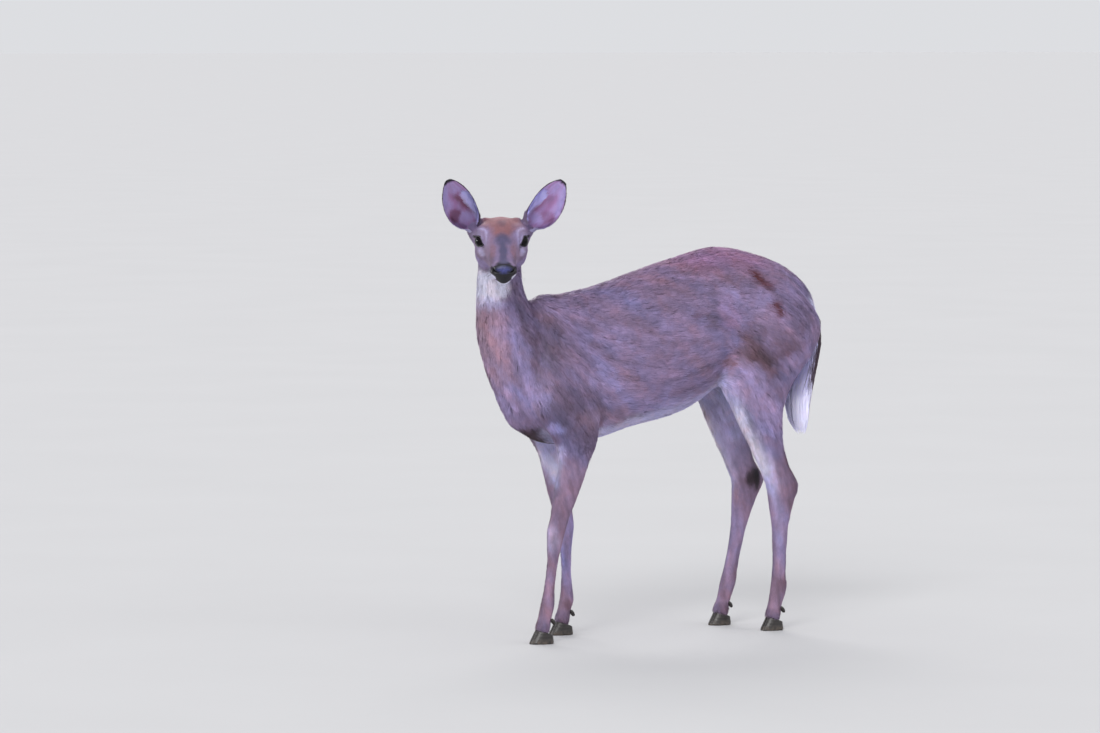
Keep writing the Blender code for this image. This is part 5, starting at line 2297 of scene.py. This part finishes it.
class Grain(Effect):
    """Fine pores and wrinkles of skin and horn."""

    name = "grain"
    takes = {"Place": ("Vector", (0.0, 0.0, 0.0)), "Scale": ("Float", 700.0), "Stretch": ("Float", 1.0)}
    gives = {"Mask": "Float", "Height": "Float"}

    @classmethod
    def wire(cls, wiring: Wiring, given: bpy.types.NodeOutputs) -> dict[str, Socket]:
        """Joins what goes in to what comes out.

        Args:
            wiring: the group's nodes.
            given: what goes in.

        Returns:
            The sockets to put out, by name.
        """
        drawn = wiring.node("CombineXYZ", {0: 1.0, 1: 1.0, 2: given["Stretch"]}).outputs[0]
        place = wiring.node("VectorMath", {0: given["Place"], 1: drawn}, operation="MULTIPLY").outputs[0]
        fine = wiring.noise(place, given["Scale"], 3.0)
        cells = wiring.node("TexVoronoi", {"Vector": place, "Scale": given["Scale"]}, feature="F1").outputs[0]
        height = wiring.plus(wiring.times(fine, 0.6), wiring.times(cells, -0.5))
        return {"Mask": wiring.between(fine, 0.35, 0.65, 0.0, 1.0), "Height": height}


@dataclass(frozen=True)
class Finish:
    """A material of the doe, with its fixed measures."""

    name: str

    def material(self) -> bpy.types.Material:
        """The finished material, made on first use.

        Returns:
            The material.
        """
        found = bpy.data.materials.get(self.name)
        if found:
            return found
        made = bpy.data.materials.new(self.name)
        made.use_nodes = True
        wiring = Wiring(made.node_tree)
        shader = wiring.node("BsdfPrincipled", {})
        out = wiring.node("OutputMaterial", {})
        wiring.feed(out.inputs["Surface"], shader.outputs[0])
        self.wire(wiring, shader.inputs)
        return made

    def wire(self, wiring: Wiring, shader: bpy.types.NodeInputs) -> None:
        """Joins the finish's nodes to its shader."""
        raise NotImplementedError

    @staticmethod
    def tone(wiring: Wiring, contrast: float) -> bpy.types.NodeOutputs:
        """The coat's tone, from the mesh's own marks."""
        tint, growth = wiring.mark("tint", "Color"), wiring.mark("growth", "Vector")
        return HairTone.use(wiring, Tint=tint, Growth=growth, Contrast=contrast)

    @staticmethod
    def bump(wiring: Wiring, shader: bpy.types.NodeInputs, height: Socket, distance: float) -> None:
        """Raises the surface by a height."""
        made = wiring.node("Bump", {"Height": height, "Distance": distance, "Strength": 1.0})
        wiring.feed(shader["Normal"], made.outputs[0])


@dataclass(frozen=True)
class CoatFinish(Finish):
    """Hair, from its own marks."""

    contrast: float = 1.0

    def wire(self, wiring: Wiring, shader: bpy.types.NodeInputs) -> None:
        """Joins the finish's nodes to its shader.

        Args:
            wiring: the material's nodes.
            shader: the shader's sockets.
        """
        tone = self.tone(wiring, self.contrast)
        wiring.feed(shader["Base Color"], tone["Color"])
        wiring.feed(shader["Roughness"], tone["Roughness"])
        shader["Specular IOR Level"].default_value = 0.35


@dataclass(frozen=True)
class HideFinish(Finish):
    """Haired skin, black and pebbled where it is bare."""

    contrast: float = 0.6
    pores: float = 1500.0  # to a metre
    pebbles: float = 520.0
    depth: float = 0.0006
    pore_grey: Point = (0.6, 0.6, 0.6)
    wet_grey: Point = (0.45, 0.45, 0.50)

    def wire(self, wiring: Wiring, shader: bpy.types.NodeInputs) -> None:
        """Joins the finish's nodes to its shader.

        Args:
            wiring: the material's nodes.
            shader: the shader's sockets.
        """
        bare = wiring.mark("bare", "Fac")
        place = wiring.place()
        tone = self.tone(wiring, self.contrast)
        pores = Grain.use(wiring, Place=place, Scale=self.pores)
        pebbles = Grain.use(wiring, Place=place, Scale=self.pebbles)
        haired = wiring.tinted(wiring.times(pores["Mask"], 0.35), tone["Color"], self.pore_grey)
        tint = wiring.mark("tint", "Color")
        wet = wiring.mix(pebbles["Mask"], wiring.tinted(1.0, tint, self.wet_grey), tint)
        wiring.feed(shader["Base Color"], wiring.mix(bare, haired, wet))
        wiring.feed(shader["Roughness"], wiring.between(bare, 0.2, 1.0, 0.80, 0.34))
        fine = wiring.times(pores["Height"], wiring.math("SUBTRACT", 1.0, bare))
        coarse = wiring.times(pebbles["Height"], bare)
        self.bump(wiring, shader, wiring.plus(fine, coarse), self.depth)
        shader["Specular IOR Level"].default_value = 0.4


@dataclass(frozen=True)
class EarFinish(Finish):
    """Thin pink-grey skin inside the ear, haired skin behind it."""

    contrast: float = 0.5
    grain: float = 900.0  # to a metre
    depth: float = 0.0004
    grain_grey: Point = (0.68, 0.62, 0.66)

    def wire(self, wiring: Wiring, shader: bpy.types.NodeInputs) -> None:
        """Joins the finish's nodes to its shader.

        Args:
            wiring: the material's nodes.
            shader: the shader's sockets.
        """
        tone = self.tone(wiring, self.contrast)
        grain = Grain.use(wiring, Place=wiring.place(), Scale=self.grain)
        grained = wiring.tinted(wiring.times(grain["Mask"], 0.3), tone["Color"], self.grain_grey)
        wiring.feed(shader["Base Color"], grained)
        wiring.feed(shader["Roughness"], wiring.between(grain["Mask"], 0.0, 1.0, 0.55, 0.72))
        self.bump(wiring, shader, grain["Height"], self.depth)
        shader["Specular IOR Level"].default_value = 0.35


@dataclass(frozen=True)
class EyeFinish(Finish):
    """A wet dark eye."""

    spokes: float = 6.0  # how closely the iris's fibres stand
    film: float = 260.0
    fibre_grey: Point = (0.45, 0.40, 0.38)

    def wire(self, wiring: Wiring, shader: bpy.types.NodeInputs) -> None:
        """Joins the finish's nodes to its shader.

        Args:
            wiring: the material's nodes.
            shader: the shader's sockets.
        """
        level, upright, _ = wiring.node("SeparateXYZ", {0: wiring.mark("growth", "Vector")}).outputs
        turn = wiring.times(wiring.math("ARCTAN2", upright, level), self.spokes)
        fibre = wiring.noise(wiring.node("CombineXYZ", {0: turn, 1: 0.0, 2: 0.0}).outputs[0], 3.0, 4.0)
        share = wiring.between(fibre, 0.35, 0.7, 0.0, 0.7)
        wiring.feed(shader["Base Color"], wiring.tinted(share, wiring.mark("tint", "Color"), self.fibre_grey))
        film = Grain.use(wiring, Place=wiring.place(), Scale=self.film)
        wiring.feed(shader["Roughness"], wiring.between(film["Mask"], 0.0, 1.0, 0.05, 0.09))
        shader["Specular IOR Level"].default_value = 0.0
        shader["Coat Weight"].default_value = 0.7
        shader["Coat Roughness"].default_value = 0.03
        shader["Coat IOR"].default_value = 1.28


@dataclass(frozen=True)
class HornFinish(Finish):
    """Dark hoof horn with growth rings, scuffed and dusty towards the ground."""

    grain: float = 900.0  # to a metre
    rings: float = 42.0
    depth: float = 0.0003
    dark: Point = (0.011, 0.009, 0.009)
    brown: Point = (0.021, 0.017, 0.016)
    ring: Point = (0.034, 0.027, 0.024)
    dust: Point = (0.11, 0.088, 0.072)

    def wire(self, wiring: Wiring, shader: bpy.types.NodeInputs) -> None:
        """Joins the finish's nodes to its shader.

        Args:
            wiring: the material's nodes.
            shader: the shader's sockets.
        """
        place = wiring.place()
        height = wiring.node("SeparateXYZ", {0: place}).outputs[2]
        grain = Grain.use(wiring, Place=place, Scale=self.grain, Stretch=0.15)
        feeds = {"Vector": place, "Scale": self.rings, "Distortion": 0.6, "Detail": 1.0, "Detail Scale": 0.8}
        rings = wiring.node("TexWave", feeds, wave_type="BANDS", bands_direction="Z").outputs["Fac"]
        plain = wiring.mix(grain["Mask"], self.dark, self.brown)
        horn = wiring.mix(wiring.times(rings, 0.30), plain, self.ring)
        scuffs = wiring.between(wiring.noise(place, 130.0), 0.35, 0.65, 0.1, 0.9)
        worn = wiring.times(wiring.between(height, 0.016, 0.001, 0.0, 1.0), scuffs)
        wiring.feed(shader["Base Color"], wiring.mix(worn, horn, self.dust))
        wiring.feed(shader["Roughness"], wiring.between(worn, 0.0, 0.8, 0.36, 0.75))
        raised = wiring.plus(wiring.times(rings, 0.6), wiring.times(grain["Height"], 0.4))
        self.bump(wiring, shader, raised, self.depth)


@dataclass(frozen=True)
class FloorFinish(Finish):
    """Plain pale floor."""

    darker: Point = (0.555, 0.555, 0.565)
    lighter: Point = (0.585, 0.585, 0.595)

    def wire(self, wiring: Wiring, shader: bpy.types.NodeInputs) -> None:
        """Joins the finish's nodes to its shader.

        Args:
            wiring: the material's nodes.
            shader: the shader's sockets.
        """
        cloud = wiring.noise(wiring.place(), 1.4, 4.0)
        wiring.feed(shader["Base Color"], wiring.mix(cloud, self.darker, self.lighter))
        shader["Roughness"].default_value = 0.9
        shader["Specular IOR Level"].default_value = 0.0


# --- hooves and studio
@dataclass
class Claws:
    """The hooves and dewclaws, rounded from the fixed ones."""

    grid: float = 0.0013
    times: int = 26

    def build(self) -> None:
        """Makes every claw."""
        for name, node in list(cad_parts.items()):
            if name.startswith(("hoof_", "dewclaw_")):
                claw = show(f"horn_{name}", self.rounded(node, f"horn_{name}"))
                place_piece(claw, HornFinish("doe_horn"), "horn", name)

    def rounded(self, node: Object, name: str) -> Mesh:
        """One claw with its edges worn round.

        Args:
            node: the fixed claw.
            name: the new mesh's name.

        Returns:
            The new mesh.
        """
        mesh = remeshed(node.data.copy(), self.grid, name)
        surface = Surface(mesh)
        surface.melt(np.full(len(surface.points), 0.6), 0.93, self.times)
        surface.points[:, 2] = np.maximum(surface.points[:, 2], 0.0)
        surface.write()
        return shade_smooth(mesh)


@dataclass
class Studio:
    """Pale floor, soft lights and the camera."""

    eye: Point = (-6.4054, -11.2143, 1.43)
    forward: Point = (0.48029883, 0.87501267, -0.06054629)
    lens: float = 177.27
    sensor: float = 36.0
    sight: float = 900.0  # how far the camera sees
    floor: float = 900.0
    sky: tuple[float, ...] = (0.83, 0.84, 0.87, 1.0)
    sky_power: float = 0.87
    lit: Point = (-0.1, 0, 0.75)  # where the lamps point
    # broad soft lights: name, place, width in degrees, power, colour
    suns: tuple = (
        ("key", (-4.6, -5.0, 4.6), 26.0, 1.55, (1.0, 0.99, 0.98)),
        ("fill", (3.0, -4.6, 2.6), 60.0, 0.45, (0.94, 0.96, 1.0)),
        ("rim", (1.6, 4.4, 4.4), 34.0, 1.25, (1.0, 0.98, 0.95)),
    )
    glint: Point = (-4.6, 2.7, 1.35)  # place of the lamp that the wet eye mirrors
    glint_size: float = 0.95
    glint_power: float = 150.0

    def build(self) -> None:
        """Sets the studio round the doe."""
        mesh = bpy.data.meshes.new("floor")
        half = self.floor / 2
        corners = [(-half, -half, 0), (half, -half, 0), (half, half, 0), (-half, half, 0)]
        mesh.from_pydata(corners, [], [(0, 1, 2, 3)])
        floor = show("floor", mesh)
        floor.data.materials.append(FloorFinish("pale_floor").material())
        self.hang_lamps()
        scene = bpy.context.scene
        scene.world = bpy.data.worlds.new("studio")
        scene.world.use_nodes = True
        sky = scene.world.node_tree.nodes["Background"].inputs
        sky[0].default_value, sky[1].default_value = self.sky, self.sky_power
        scene.view_settings.view_transform = "Standard"
        camera = bpy.data.cameras.new("camera")
        camera.lens, camera.sensor_width, camera.clip_end = self.lens, self.sensor, self.sight
        scene.camera = self.stand(camera, self.eye, Vector(self.forward))

    def hang_lamps(self) -> None:
        """Hangs the lamps so that they face the doe."""
        for name, place, width, power, colour in self.suns:
            lamp = bpy.data.lights.new(name, "SUN")
            lamp.angle, lamp.energy, lamp.color = math.radians(width), power, colour
            self.stand(lamp, place, Vector(self.lit) - Vector(place))
        lamp = bpy.data.lights.new("glint", "AREA")
        lamp.size, lamp.energy = self.glint_size, self.glint_power
        hung = self.stand(lamp, self.glint, Vector(self.lit) - Vector(self.glint))
        hung.visible_diffuse = False

    @staticmethod
    def stand(data: bpy.types.ID, place: Point, way: Vector) -> Object:
        """Puts a lamp or camera in its place.

        Args:
            data: the lamp or camera.
            place: where it stands.
            way: the way it looks.

        Returns:
            Its object.
        """
        made = show(data.name, data)
        made.location = place
        made.rotation_euler = way.to_track_quat("-Z", "Y").to_euler()
        return made


def main() -> None:
    """Builds the doe and her studio."""
    logging.basicConfig(level=logging.INFO, format="%(message)s")
    hide = Skin()
    hide.build()
    BodyCoat(hide.ground, hide.flesh).build()
    TailCoat().build()
    # name, side, tip, painted shade in the hollow, painted light on the inner face
    ears = (
        ("left", 1.0, (-0.066, 0.147, 0.131), 0.42, 1.28),
        ("right", -1.0, (-0.034, 0.127, 0.1445), 0.90, 1.06),
    )
    for name, sign, tip, hollow_shade, hollow_light in ears:
        Ear(name, sign, tip, hollow_shade, hollow_light).build()
        Eye(name, sign).build()
    FineHairs().build()
    Claws().build()
    Studio().build()


if __name__ == "__main__":
    main()
